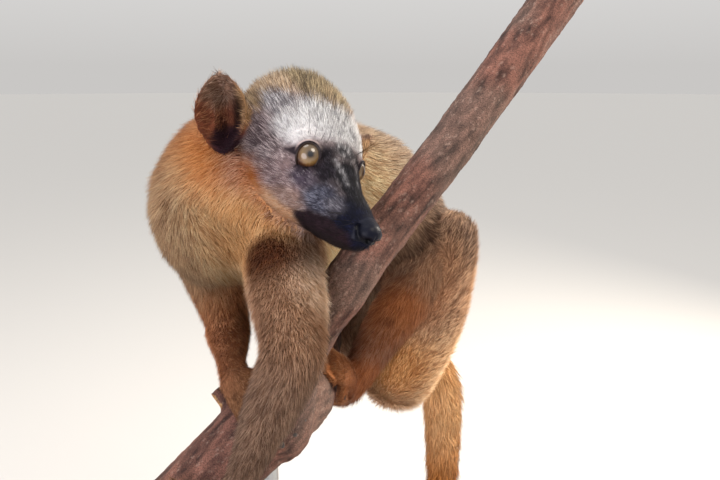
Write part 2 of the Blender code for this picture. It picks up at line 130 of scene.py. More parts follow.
def move_points(thing, rows):
    thing.data.vertices.foreach_set("co", rows.astype(np.float32).ravel())
    thing.data.update()


# %% Helpers for materials
def linear(code):
    """The linear red, green and blue of an sRGB hex value."""
    parts = np.array([int(code[at:at + 2], 16) / 255 for at in (1, 3, 5)])
    return np.where(parts <= 0.04045, parts / 12.92, ((parts + 0.055) / 1.055) ** 2.4)


def fill(tree, node, inputs):
    """Fill a node's inputs: a socket is linked, a hex value is a colour, and a number is itself."""
    for name, value in inputs.items():
        if isinstance(value, bpy.types.NodeSocket):
            tree.links.new(value, node.inputs[name])
        else:
            colour = isinstance(value, str)
            node.inputs[name].default_value = (*linear(value), 1) if colour else value


def add_node(tree, kind, settings=None, inputs=None, stops=()):
    """Add a node, set its options, fill its inputs, and give a colour ramp its stops."""
    node = tree.nodes.new(kind)
    for name, value in (settings or {}).items():
        setattr(node, name, value)
    fill(tree, node, inputs or {})
    while stops and len(node.color_ramp.elements) < len(stops):
        node.color_ramp.elements.new(0.5)
    for order, (at, code) in enumerate(stops):
        node.color_ramp.elements[order].position = at
        node.color_ramp.elements[order].color = (*linear(code), 1)
    return node


def new_material(name):
    """A new material, the tree to build in and its main shader."""
    material = bpy.data.materials.new(name)
    material.use_nodes = True
    return material, material.node_tree, material.node_tree.nodes["Principled BSDF"]


def dress(thing, material):
    """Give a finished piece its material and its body."""
    thing.data.materials.clear()
    thing.data.materials.append(material)
    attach(thing, "root")


def paint(thing, name, colours):
    """Store linear colours on a mesh's points."""
    layer = thing.data.color_attributes.new(name=name, type="FLOAT_COLOR", domain="POINT")
    rows = np.ones((len(colours), 4), np.float32)
    rows[:, :3] = np.clip(colours, 0, 1)
    layer.data.foreach_set("color", rows.ravel())
    thing.data.color_attributes.active_color = layer


# %% Camera and floor
bpy.ops.object.select_all(action="DESELECT")
CAMERA_PLACE = (0, -0.40, 0.62)
CAMERA_TURN = (math.radians(75), 0, 0)
bpy.ops.object.camera_add(location=CAMERA_PLACE, rotation=CAMERA_TURN)
camera = bpy.context.object
camera.data.lens = 30
camera.data.sensor_width = 36
camera.data.clip_start = 0.01
bpy.context.scene.camera = camera

FLOOR_RADIUS, FLOOR_GAP = 30, 0.0005
bpy.ops.mesh.primitive_circle_add(vertices=96, radius=FLOOR_RADIUS, fill_type="NGON",
                                  location=(0, 0, cad_low.z - FLOOR_GAP))
floor = bpy.context.object
floor.name = "floor"
bpy.ops.object.transform_apply(location=True)
floor_paint, tree, shader = new_material("matt studio floor")
fill(tree, shader, {"Base Color": "#cfccc8", "Roughness": 0.9})
floor.data.materials.append(floor_paint)
print("camera", tuple(round(v, 3) for v in camera.location), "floor at", round(cad_low.z, 4))

# %% Lights
# Place, size across in metres, watts and colour of each lamp.
LAMPS = (
    ("key lamp", (0.85, -0.65, 1.55), 0.7, 13, "#fff1df"),
    ("fill lamp", (-0.85, -1.35, 0.50), 1.4, 22.5, "#fbf6ff"),
    ("edge lamp", (1.15, 0.60, 1.00), 0.6, 24, "#fff4e4"),
    ("top lamp", (-0.35, 0.05, 1.7), 0.7, 5, "#ffffff"),
)
LAMP_AIM = Vector((0, -0.02, 0.5))
for name, place, size, watts, colour in LAMPS:
    bpy.ops.object.light_add(type="AREA", location=place)
    lamp = bpy.context.object
    lamp.name = name
    lamp.data.shape = "DISK"
    lamp.data.size = size
    lamp.data.energy = watts
    lamp.data.color = linear(colour)
    lamp.rotation_euler = (LAMP_AIM - lamp.location).to_track_quat("-Z", "Y").to_euler()
world = bpy.data.worlds.new("pale studio")
bpy.context.scene.world = world
world.use_nodes = True
sky = world.node_tree
way = add_node(sky, "ShaderNodeTexCoord")
height = add_node(sky, "ShaderNodeSeparateXYZ", None, {"Vector": way.outputs["Generated"]})
fade = add_node(sky, "ShaderNodeValToRGB", None, {"Fac": height.outputs["Z"]},
                ((0.02, "#c9c7c5"), (0.55, "#ffffff")))
fill(sky, sky.nodes["Background"], {"Color": fade.outputs["Color"], "Strength": 1.0})
bpy.context.scene.view_settings.view_transform = "Standard"
print(len(LAMPS), "lamps")

# %% [markdown]
# ## The skin
# Under its coat a lemur has one unbroken skin. The flesh solids are copied, swollen by less than
# half a millimetre so that they touch, and remeshed together. Two lid balls, a little bigger than
# the eyes, are joined in too, so the lids come out of the same skin. Decimating the trunk and the
# limbs leaves the fine grid on the head, hands and feet only.

# %% Places on the head
HEAD_FORWARD = Vector((0.585, -0.793, -0.171)).normalized()
HEAD_UP = Vector((0.379, 0.081, 0.922))
HEAD_LEFT = HEAD_UP.cross(HEAD_FORWARD).normalized()
HEAD_UP = HEAD_FORWARD.cross(HEAD_LEFT)
HEAD_AXES = np.array([HEAD_FORWARD, HEAD_LEFT, HEAD_UP])
HEAD_CENTRE = np.array((-1.45, -8.55, 57.69))
SIDES = (("left", 1), ("right", -1))
EYE_RADIUS = 0.74
LID_RADIUS = 0.83
EYE_TURN, EYE_RISE = math.radians(38), 0.03
NOSE_TIP = np.array((5.1, 0.0, -2.1))


def eye_place(side):
    return np.array((-0.2, side * 1.5, 0.0))


def from_head(points):
    """Places in the frame, in metres, from head measures in centimetres: forward, left, up."""
    return (HEAD_CENTRE + points @ HEAD_AXES) * CM


def to_head(points):
    """Head measures in centimetres of places in the frame."""
    return (points / CM - HEAD_CENTRE) @ HEAD_AXES.T


def both_sides(points):
    """Head places with the right side of the head laid over the left."""
    return np.column_stack((points[:, 0], np.abs(points[:, 1]), points[:, 2]))


print("eyes", [np.round(from_head(eye_place(side)), 4).tolist() for _, side in SIDES])

# %% Copy the flesh and close its gaps
PAIRED = ("ear", "upper_arm", "forearm", "hand", "thigh", "lower_leg", "foot")
FLESH = ["head", "neck", "chest", "loin", "rump", "tail_1", "tail_2", "tail_3", "tail_4"]
FLESH += [f"{part}_{side}" for part in PAIRED for side, _ in SIDES]
SWELL = 0.0004
MERGE = (bpy.ops.mesh.remove_doubles, {"threshold": 0.00002})
copies = []
for name in FLESH:
    copy = placed("flesh " + name, nodes[name].data.copy())
    swell = 0.0 if name.startswith(("hand", "foot")) else SWELL
    edit_all(copy, MERGE, (bpy.ops.transform.shrink_fatten, {"value": swell}))
    copies.append(copy)
for _, side in SIDES:
    bpy.ops.mesh.primitive_uv_sphere_add(segments=32, ring_count=20, radius=LID_RADIUS * CM,
                                         location=from_head(eye_place(side)))
    copies.append(bpy.context.object)
skin = joined(copies)
skin.name = "skin"
print(len(FLESH), "flesh solids joined")


# %% Remesh into one skin
def surface_of(names):
    """A search tree over the triangles of some solids, and the number of each one's solid."""
    corners, triangles, owners = [], [], []
    for index, name in enumerate(names):
        mesh = nodes[name].data
        mesh.calc_loop_triangles()
        start = len(corners)
        corners.extend(vertex.co for vertex in mesh.vertices)
        for triangle in mesh.loop_triangles:
            triangles.append([start + vertex for vertex in triangle.vertices])
            owners.append(index)
    return BVHTree.FromPolygons(corners, triangles), owners


def nearest_parts(points):
    """The number of the flesh solid that each point lies nearest to."""
    return np.array([flesh_owners[flesh_tree.find_nearest(Vector(point))[2]] for point in points])


def belongs(owners, *starts):
    """Which owners are the flesh solids whose names start with one of these words."""
    return np.isin(owners, [index for index, name in enumerate(FLESH) if name.startswith(starts)])


def group_points(name, chosen):
    group = skin.vertex_groups.new(name=name)
    group.add([int(index) for index in np.flatnonzero(chosen)], 1.0, "REPLACE")


SKIN_VOXEL = 0.0013
KEPT_BELOW_NECK = 0.27
FINE = ("head", "ear", "hand", "foot")
apply_modifier(skin, "REMESH", mode="VOXEL", voxel_size=SKIN_VOXEL, adaptivity=0.0)
apply_modifier(skin, "SMOOTH", factor=0.5, iterations=2)
flesh_tree, flesh_owners = surface_of(FLESH)
part = nearest_parts(points_of(skin))
group_points("rounder", ~belongs(part, "hand", "foot"))
apply_modifier(skin, "SMOOTH", factor=0.5, iterations=5, vertex_group="rounder")
group_points("coarse", ~belongs(part, *FINE))
apply_modifier(skin, "DECIMATE", ratio=KEPT_BELOW_NECK, vertex_group="coarse",
               vertex_group_factor=10.0)
print("skin", len(skin.data.vertices), "points")


# %% Finer faces where the lids, nose and lips are
def eye_distance(head_points):
    """How far each point is from the nearer eye's centre, in centimetres."""
    return np.linalg.norm(both_sides(head_points) - eye_place(1), axis=1)


def refine(chosen):
    """Subdivide the faces whose points are all chosen."""
    lone(skin)
    mesh = skin.data
    for element in (mesh.vertices, mesh.edges, mesh.polygons):
        element.foreach_set("select", np.zeros(len(element), bool))
    for polygon in mesh.polygons:
        polygon.select = bool(chosen[list(polygon.vertices)].all())
    bpy.ops.object.mode_set(mode="EDIT")
    bpy.ops.mesh.select_mode(type="FACE")
    bpy.ops.mesh.subdivide(number_cuts=1, smoothness=0.0)
    bpy.ops.object.mode_set(mode="OBJECT")


FACE_BACK, FACE_REACH, FACE_BOTTOM = -1.2, 7, -4.2
LIDS_REACH, NOSE_REACH = 1.15, 1.3
head = to_head(grid(skin.data.vertices, "co", 3))
refine((head[:, 0] > FACE_BACK) & (np.linalg.norm(head, axis=1) < FACE_REACH)
       & (head[:, 2] > FACE_BOTTOM))
head = to_head(grid(skin.data.vertices, "co", 3))
refine((eye_distance(head) < LIDS_REACH)
       | (np.linalg.norm(head - NOSE_TIP, axis=1) < NOSE_REACH))
print("skin with a finer face", len(skin.data.vertices), "points")

# %% [markdown]
# ## Where the coat runs, and how deep it is
# Hair grows away from the nose, back over the head, along the trunk and down every limb. Each
# flesh solid gets a line for that run, a depth, and a length and rise of its hair. These numbers
# are laid on the skin's points by the nearest solid and then evened out along the skin, so that
# one coat melts into the next.

# %% Lines through the body, in centimetres
TRUNK = [(-9.2, -4.3, 53.7), (-7, -2.8, 54.2), (-3.5, 0, 54.4), (0, 2.9, 53.6), (2.6, 5.2, 50.5),
         (4.5, 7.2, 45.9), (4.9, 8.4, 41.2), (5.4, 9.3, 38.4)]
NECK = [(-4.8, -5.2, 58.2), (-5.9, -4.6, 57.3), (-7.5, -3.6, 56), (-8.8, -2.5, 54.2)]
TAIL = [(5.3, 8.7, 40.4), (7, 8.6, 36.4), (7.45, 8.2, 33), (7.6, 8, 26), (7.4, 8, 18),
        (7, 8.4, 12), (5.4, 9, 6.8), (2, 9.2, 4.7), (-1.8, 9.1, 5.6), (-4.2, 8.9, 8.4)]
ARMS = {"left": [(-4.5, -6.4, 52.4), (-3.1, -13.76, 49.44), (-6.7, -13.6, 40.8)],
        "right": [(-9.9, -3.6, 53.6), (-9.3, -0.84, 45.86), (-7.45, -8.3, 45.35)]}
LEGS = {"left": [(3.6, 4.3, 39.5), (6.6, 2.9, 50.6), (-0.7, -1.2, 40.3)],
        "right": [(0.3, 8.3, 39.5), (-0.1, 10.9, 50.6), (-5.7, 3.6, 40.3)]}


def follow(points, *lines, ends=(0, 1)):
    """How far each point is from the nearest stretch of some lines, and which way that runs."""
    gap = np.full(len(points), 1e9)
    way = np.zeros((len(points), 3))
    for line in lines:
        for start, end in zip(np.array(line)[:-1], np.array(line)[1:]):
            step = end - start
            share = np.clip(((points - start) @ step) / (step @ step), *ends)
            off = np.linalg.norm(points - start - share[:, None] * step, axis=1)
            nearer = off < gap
            gap[nearer] = off[nearer]
            way[nearer] = step / np.linalg.norm(step)
    return gap, way


print("lines for", 3 + len(ARMS) + len(LEGS), "parts")


# %% Sums on rows of points
def unit(vectors):
    return vectors / np.maximum(np.linalg.norm(vectors, axis=1), 1e-9)[:, None]


def step_up(low, high, values):
    """A soft step from 0 at low to 1 at high."""
    share = np.clip((values - low) / (high - low), 0, 1)
    return share * share * (3 - 2 * share)


def bump(values, middle, width):
    """1 at the middle, falling softly to 0 on both sides."""
    return np.exp(-((values - middle) / width) ** 2)


def blend(under, over, weight):
    """One set of values laid over another, by a weight from 0 to 1."""
    return under * (1 - weight) + over * weight


def even_out(values, links, rounds):
    """Average rows of values with their neighbours' along the skin."""
    count = np.bincount(links.ravel(), minlength=len(values)).astype(float)[:, None]
    for _ in range(rounds):
        total = np.zeros_like(values)
        for column in range(values.shape[1]):
            total[:, column] = np.bincount(links[:, 0], values[links[:, 1], column], len(values))
            total[:, column] += np.bincount(links[:, 1], values[links[:, 0], column], len(values))
        values = 0.4 * values + 0.6 * total / np.maximum(count, 1)
    return values


print("a soft step at its middle is", step_up(0, 1, np.array([0.5]))[0])


# %% Which way the hair lies
def ear_axes(side):
    """The middle of one ear in head measures, and its own axes: towards the face, up, and out."""
    middle = np.array((-4.05, side * 4.62, 0.45))
    tall = np.array((-0.38, side * 0.21, 0.90))
    tall /= np.linalg.norm(tall)
    facing = np.array((0.60, side * 0.80, 0.05))
    facing -= tall * (facing @ tall)
    facing /= np.linalg.norm(facing)
    return middle, np.array((np.cross(tall, facing) * side, tall, facing))


def run_of(name, points):
    """Which way the hair of one part lies, before it is laid on the skin."""
    side = name.split("_")[-1]
    if name == "head":
        return ((to_head(points * CM) - NOSE_TIP) * (1, 0.8, 1)) @ HEAD_AXES
    if name.startswith("ear"):
        middle, axes = ear_axes(dict(SIDES)[side])
        local = (to_head(points * CM) - middle) @ axes.T
        inner = step_up(-0.1, 0.15, local[:, 2])
        lie = np.column_stack((-np.sign(local[:, 0]) * inner, 1.1 - 0.85 * inner, 0 * inner))
        return lie @ axes @ HEAD_AXES
    if name == "neck":
        return follow(points, NECK)[1] + (0, 0, -0.35)
    if name == "chest":
        return follow(points, TRUNK)[1] * 0.55 + (0.15, 0.0, -0.75)
    if name in ("loin", "rump"):
        return follow(points, TRUNK)[1] + (0, 0, -0.25)
    if name.startswith("tail"):
        return follow(points, TAIL)[1]
    line = np.array((ARMS if "arm" in name or "hand" in name else LEGS)[side])
    if name.startswith(("hand", "foot")):
        return points - line[2] + (line[2] - line[1]) * 0.1
    stretch = line[:2] if name.startswith(("upper", "thigh")) else line[1:]
    return follow(points, stretch)[1] + (0, 0, -0.15)


places = points_of(skin)
links = grid(skin.data.edges, "vertices", 2, np.int32)
part = nearest_parts(places)
is_head, is_ear = belongs(part, "head"), belongs(part, "ear")
run = np.zeros_like(places)
for index, name in enumerate(FLESH):
    mine = part == index
    run[mine] = unit(run_of(name, places[mine] / CM))
run = unit(even_out(run, links, 14))
print("run of the hair at", len(run), "points")

# %% How deep, long and close the coat is
# Depth of the coat over the skin, length of a tuft, its width, all in mm, its rise from the skin
# in degrees, and the tufts on a square millimetre.
DEPTH, LENGTH, WIDTH, RISE, CROWD = range(5)
COAT = {
    "head": (3.4, 6.0, 0.42, 33, 2.7),
    "ear": (0.4, 4.6, 0.34, 26, 1.9),
    "neck": (6.0, 9.6, 0.50, 40, 1.85),
    "chest": (6.5, 10.4, 0.52, 40, 1.65),
    "loin": (6.5, 12.0, 0.66, 34, 1.15),
    "rump": (6.5, 12.0, 0.66, 34, 1.15),
    "upper_arm": (5.5, 8.8, 0.50, 40, 1.8),
    "forearm": (3.8, 6.8, 0.46, 37, 1.95),
    "hand": (0.5, 3.8, 0.40, 22, 2.3),
    "thigh": (6.5, 9.8, 0.54, 42, 1.55),
    "lower_leg": (4.8, 9.0, 0.58, 34, 1.4),
    "foot": (0.6, 5.0, 0.42, 26, 2.5),
    "tail": (8.0, 19.0, 0.9, 27, 1.0),
}
MUZZLE_COAT = np.array((1.2, 3.6, 0.30, 26, 4.6))
CROWN_COAT = np.array((4.6, 8.2, 0.44, 44, 2.5))


def kind_of(name):
    """The row of COAT or HAIR that a flesh solid takes."""
    return max((kind for kind in COAT if name.startswith(kind)), key=len)


coat = np.zeros((len(places), 5))
for index, name in enumerate(FLESH):
    coat[part == index] = COAT[kind_of(name)]
head = to_head(places)
face_coat = blend(coat, MUZZLE_COAT, step_up(-2.6, 1.2, head[:, 0])[:, None])
crown = step_up(1.9, 3.3, head[:, 2] - 0.25 * head[:, 0])[:, None]
coat[is_head] = blend(face_coat, CROWN_COAT, crown)[is_head]
coat = even_out(coat, links, 24)
coat[:, LENGTH] *= 1 - 0.45 * (1 - step_up(1.0, 1.9, eye_distance(head))) * is_head
print("coat depth", round(coat[:, DEPTH].min(), 1), "to", round(coat[:, DEPTH].max(), 1), "mm")

# %% Sink the skin by the coat's depth
normals = unit(even_out(points_of(skin, "normal"), links, 3))
near_eye = 1 - step_up(0.95, 1.35, eye_distance(head))
places = places - normals * (coat[:, DEPTH] * MM * (1 - 0.75 * near_eye))[:, None]
bulk = ~belongs(part, *FINE)
places[bulk] = even_out(places, links, 10)[bulk]
head = to_head(places)
print("skin sunk")

# %% [markdown]
# ## Lids, lips, nose and ears
# The two lid balls now bulge from the face. Inside an almond opening their skin is pushed back
# behind the eye, and around it a thick rim and a fold are raised, which is how real lids sit on
# the ball. The lips are a groove, the nose gets its two comma-shaped nostrils and the cleft
# below them, and each ear gets its hollow and its folded rim. These are small moves of points,
# because no primitive holds such shapes.

# %% Lids
DEGREE = math.radians(1)
RIM_WIDE, RIM_HIGH = 49 * DEGREE, 79 * DEGREE
OUTER_SHARE, UPPER_SHARE = 0.90, 0.71
RIM_RADIUS, SUNK_RADIUS, SUNK_STEP = 0.80, 0.60, 0.16
LID_REACH, LID_WIDTH = 1.25, 70 * DEGREE
FAR = 9.0
# The edge, crease and fold of the upper lid: height in cm, then middle and width past the rim.
UPPER_LID = ((-0.08, 8 * DEGREE, 3 * DEGREE), (0.08, 14 * DEGREE, 5 * DEGREE))


def eye_axes(side):
    """The eye's own axes in head measures: outwards to the temple, up, and along the look."""
    look = np.array((math.cos(EYE_TURN), side * math.sin(EYE_TURN), EYE_RISE))
    look = look / np.linalg.norm(look)
    outward = np.cross(np.array((0, 0, side)), look)
    outward /= np.linalg.norm(outward)
    return np.array((outward, np.cross(look, outward) * side, look))


def rim_angle(spoke):
    """Half the lid opening, as an angle at the eye's centre, in given directions round the look."""
    wide = np.where(spoke[:, 0] > 0, RIM_WIDE * OUTER_SHARE, RIM_WIDE)
    high = np.where(spoke[:, 1] > 0, RIM_HIGH * UPPER_SHARE, RIM_HIGH)
    return 1 / np.sqrt((spoke[:, 0] / wide) ** 2 + (spoke[:, 1] / high) ** 2)


def on_ball(spoke, angle, distance):
    """Places in eye axes from a direction round the look, an angle off it, and a distance."""
    return np.column_stack((spoke * np.sin(angle)[:, None], np.cos(angle))) * distance[:, None]


lid_gap = np.full(len(head), FAR)
lid_top = np.zeros(len(head))
for _, side in SIDES:
    local = (head - eye_place(side)) @ eye_axes(side).T
    distance = np.linalg.norm(local, axis=1)
    flat = np.linalg.norm(local[:, :2], axis=1)
    angle = np.arctan2(flat, local[:, 2])
    spoke = local[:, :2] / np.maximum(flat, 1e-6)[:, None]
    rim = rim_angle(spoke)
    near = (distance < LID_REACH) & (angle < rim + LID_WIDTH)
    snap = near & (angle < rim) & (angle > rim - 4 * DEGREE)
    angle = np.where(snap, rim, angle)
    past = angle - rim
    upper = step_up(-0.2, 0.4, spoke[:, 1])
    lid = RIM_RADIUS + (0.01 + 0.08 * upper) * bump(past, 2 * DEGREE, 5 * DEGREE)
    for rise, middle, width in UPPER_LID:
        lid += rise * bump(past, middle, width) * upper
    hold = 1 - step_up(12 * DEGREE, 34 * DEGREE, past)
    outside = blend(np.maximum(distance, RIM_RADIUS), lid, hold)
    behind = SUNK_RADIUS + SUNK_STEP * step_up(-9 * DEGREE, 0, past)
    shaped = on_ball(spoke, angle, np.where(past >= 0, outside, behind))
    head[near] = (shaped @ eye_axes(side) + eye_place(side))[near]
    lid_gap = np.where(near, np.minimum(lid_gap, past), lid_gap)
    lid_top[near] = upper[near]
on_lids = lid_gap < FAR
print("lid points", int(on_lids.sum()))

# %% Lips, nostrils and the tip of the nose
LIPS = [(0.7, 1.55, -2.75), (1.6, 1.2, -3.02), (2.6, 1.02, -3.08), (3.6, 0.9, -2.98),
        (4.3, 0.75, -2.85), (4.75, 0.4, -2.72), (4.9, 0.0, -2.68)]
UPPER_LIP = [(x, y, z + 0.22) for x, y, z in LIPS]
NOSTRIL = [(4.98, 0.22, -2.44), (4.76, 0.36, -2.44), (4.58, 0.50, -2.30), (4.42, 0.60, -2.02)]
GROOVE, LIP, PAD, CLEFT, WING, PIT = 0.13, 0.05, 0.02, 0.05, 0.035, 0.42
outward = normals @ HEAD_AXES.T
lip_gap = follow(both_sides(head), LIPS)[0]
nostril_gap = follow(both_sides(head), NOSTRIL)[0]
around_nose = 1 - step_up(0.9, 1.5, np.linalg.norm(head - NOSE_TIP, axis=1))
head = blend(head, even_out(head, links, 12), around_nose[:, None])
upper_lip_gap = follow(both_sides(head), UPPER_LIP)[0]
move = -GROOVE * bump(lip_gap, 0, 0.09) + LIP * bump(upper_lip_gap, 0, 0.14)
pad = step_up(4.05, 4.6, head[:, 0]) * step_up(-2.85, -2.6, head[:, 2])
cleft = bump(head[:, 1], 0, 0.06) * step_up(4.6, 4.8, head[:, 0]) * step_up(-2.0, -2.3, head[:, 2])
move += PAD * pad - CLEFT * cleft
move[head[:, 0] < -2] = 0
head += outward * move[:, None]
pit = bump(nostril_gap, 0, 0.13 + 0.06 * step_up(4.4, 4.7, head[:, 0]))
inward = np.column_stack((np.full(len(head), -0.8), -0.5 * np.sign(head[:, 1]),
                          np.full(len(head), 0.1)))
head += inward * (PIT * pit)[:, None]
wing = bump(nostril_gap, 0.24, 0.09) * step_up(-2.5, -2.2, head[:, 2])
head += outward * (WING * wing)[:, None]
print("nostril points", int((pit > 0.4).sum()))


# %% Ears
def oval(local, middle, halves):
    """How far out of an oval on the ear each point is: 1 on its line."""
    return np.hypot((local[:, 0] - middle[0]) / halves[0], (local[:, 1] - middle[1]) / halves[1])


for name, side in SIDES:
    middle, axes = ear_axes(side)
    local = (head - middle) @ axes.T
    push = -0.34 * np.exp(-oval(local, (0.10, -0.75), (0.55, 1.35)) ** 2)
    push -= 0.34 * np.exp(-oval(local, (0, -0.1), (1.15, 1.7)) ** 2)
    push += 0.22 * bump(oval(local, (0, 0), (1.5, 2.1)), 0.98, 0.14)
    push += 0.20 * bump(local[:, 0], 0.62, 0.20) * bump(local[:, 1], -0.2, 0.9)
    slim = 1 - 0.16 * step_up(0.3, 2.1, local[:, 1]) - 0.14 * step_up(-0.6, -2.0, local[:, 1])
    local[:, 0] = local[:, 0] * slim + 0.12
    local[:, 1] -= 0.22
    local[:, 2] += push
    mine = belongs(part, f"ear_{name}")
    head[mine] = (local @ axes + middle)[mine]
moved = ((is_head | on_lids) & (head[:, 0] > -3)) | is_ear
places[moved] = from_head(head[moved])
move_points(skin, places)
print("points of the face and ears", int(moved.sum()))

# %% Unwrap the skin
lone(skin)
skin.data.uv_layers.new(name="OFBake")
bpy.ops.object.shade_smooth()
edit_all(skin, (bpy.ops.uv.smart_project, {"angle_limit": math.radians(66),
                                           "island_margin": 0.002}))
print("skin unwrapped")

# %% [markdown]
# ## Markings
# Skin and coat share one set of markings, laid on the skin's points as three colours: the middle
# of a hair, the pale tips and the dark tips. Each marking is a soft-edged lump of space on the
# head or the body, named for what it is; a few are painted shade or painted light, and say so.
# The tips matter most, because an agouti hair is ringed pale and dark, and that is what makes the
# coat look grizzled.

# %% Colour of each part: middle of the hair, pale tips, dark tips, share of dark tips
HAIR = {
    "head": ("#968687", "#e1d2cf", "#3f333a", 0.42),
    "ear": ("#6b4a3a", "#bd9c83", "#2b1c18", 0.28),
    "neck": ("#cc772e", "#e29b4c", "#98531c", 0.18),
    "chest": ("#ffd69c", "#ffffd2", "#d29e69", 0.18),
    "loin": ("#9c7e67", "#c3ab92", "#4f3c32", 0.36),
    "rump": ("#dfb58d", "#f5ddbf", "#946c4b", 0.2),
    "upper_arm": ("#a67d5f", "#cda787", "#593f2f", 0.34),
    "forearm": ("#826450", "#ab8d76", "#402e25", 0.40),
    "hand": ("#7f573b", "#b88f68", "#3a271d", 0.35),
    "thigh": ("#bd9474", "#e3c09e", "#654c3e", 0.30),
    "lower_leg": ("#b06b3f", "#d48b58", "#693b20", 0.28),
    "foot": ("#a66941", "#cd9667", "#5f3b26", 0.30),
    "tail": ("#cf893d", "#f1b764", "#875626", 0.25),
}
BACK = ("#96816f", "#c2b09c", "#483a32", 0.4)
# Markings: centre, half sizes in cm, soft edge, then the same four values. Those of the head and
# ears are in head measures, and lie on both sides.
HEAD_MARKS = (
    ("nape", (-6.0, 0, 0.6), (2.4, 4.4, 3.4), 0.3, "#b98e60", "#e0b988", "#6f5338", 0.32),
    ("temple", (-2.5, 3.4, 0.6), (1.1, 0.9, 1.5), 0.45, "#786668", "#d3c2c2", "#2f262c", 0.42),
    ("ruff", (-2.7, 3.0, -3.6), (2.6, 2.6, 2.1), 0.4, "#cb7121", "#e0943a", "#944c12", 0.15),
    ("cheek", (-0.2, 2.4, -1.7), (1.7, 1.3, 1.3), 0.45, "#988080", "#dcc9c7", "#48393f", 0.36),
    ("jowl", (-1.0, 1.7, -3.3), (1.9, 1.5, 1.0), 0.5, "#edb78c", "#ffe2c0", "#b5835f", 0.12),
    ("lower cheek", (0.1, 1.9, -2.35), (1.1, 0.9, 0.55), 0.5, "#a88a7e", "#e2cbc0", "#5a4743", 0.3),
    ("muzzle side", (1.9, 1.4, -1.6), (1.25, 0.8, 0.95), 0.45, "#4b4b5a", "#a9aabb", "#18161f", 0.45),
    ("muzzle", (4.3, 0, -2.0), (2.0, 2.2, 2.3), 0.25, "#0d0e21", "#1f2344", "#05050f", 0.5),
    ("mask", (1.2, 1.15, -0.35), (0.75, 0.62, 0.85), 0.45, "#1f1820", "#4c4450", "#0c090d", 0.5),
    ("bridge", (2.2, 0, -0.4), (1.9, 0.95, 1.2), 0.35, "#19171d", "#4a4850", "#0a090c", 0.55),
    ("pale patch", (2.75, 1.1, -1.62), (0.6, 0.5, 0.36), 0.6, "#625e68", "#b7b3bb", "#28242c", 0.4),
    ("frown", (0.7, 0, 0.9), (0.55, 0.85, 0.5), 0.5, "#59565a", "#d5d2d4", "#161418", 0.55),
    ("below the eye", (0.55, 1.9, -1.0), (0.85, 0.6, 0.6), 0.5, "#544956", "#aea4aa", "#1c161c", 0.45),
    ("forehead", (-0.9, 0.5, 2.0), (1.7, 2.3, 1.1), 0.3, "#cfcdcf", "#ffffff", "#45434a", 0.26),
    ("brow", (-1.25, 2.25, 1.35), (1.3, 1.0, 1.2), 0.35, "#e9e6e7", "#ffffff", "#7a757a", 0.2),
    ("crown", (-4.6, 0, 4.05), (4.4, 4.4, 1.55), 0.2, "#917d61", "#c3b08b", "#2e2623", 0.42),
    ("ear front", (-3.9, 3.5, 1.5), (0.9, 0.9, 1.5), 0.35, "#a88966", "#dbbd96", "#4a392e", 0.38),
    ("crown edge", (-3.8, 2.85, 2.7), (1.6, 1.2, 0.9), 0.35, "#b59676", "#dcc6ab", "#4d3b31", 0.3),
    ("crown side", (-2.8, 2.65, 1.9), (1.1, 1.0, 0.62), 0.45, "#a9a2a5", "#e9e4e5", "#46414a", 0.34),
    ("parting", (-2.3, -1.2, 3.25), (1.5, 1.3, 0.7), 0.4, "#a38a6c", "#d0b48e", "#4a3a2f", 0.3),
    ("inner corner", (0.6, 1.05, 0.4), (0.5, 0.45, 0.65), 0.6, "#1b161d", "#57515b", "#0a080c", 0.5),
    ("lips", (2.3, 0.95, -3.05), (2.3, 1.05, 0.75), 0.16, "#27171f", "#3e2a33", "#140b0f", 0.45),
    ("chin", (2.6, 0, -3.7), (2.6, 1.5, 0.7), 0.3, "#231a1d", "#3d3134", "#120c0e", 0.35),
)
# In the ear, the dark hollow and the near-black notch are painted shade. The lighter rim is partly its
# pale fringe of hair and partly painted light on the raised rim.
EAR_MARKS = (
    ("whole ear", (-4.1, 4.6, 0.4), (2.5, 2.5, 3.2), 0.2, "#6a3a27", "#d5986f", "#2e140f", 0.3),
    ("ear rim", (-4.4, 5.2, 1.5), (1.1, 1.2, 1.2), 0.35, "#775948", "#d5b39e", "#301e17", 0.35),
    ("front half", (-3.2, 4.3, 1.15), (0.75, 1.0, 1.25), 0.4, "#94714f", "#dcb68c", "#4a3122", 0.3),
    ("hollow", (-3.95, 4.3, -0.2), (0.62, 0.60, 1.5), 0.4, "#28140f", "#6b4531", "#130a08", 0.4),
    ("notch", (-3.55, 4.1, -1.0), (1.05, 0.9, 1.15), 0.25, "#29141d", "#452231", "#160a11", 0.4),
)
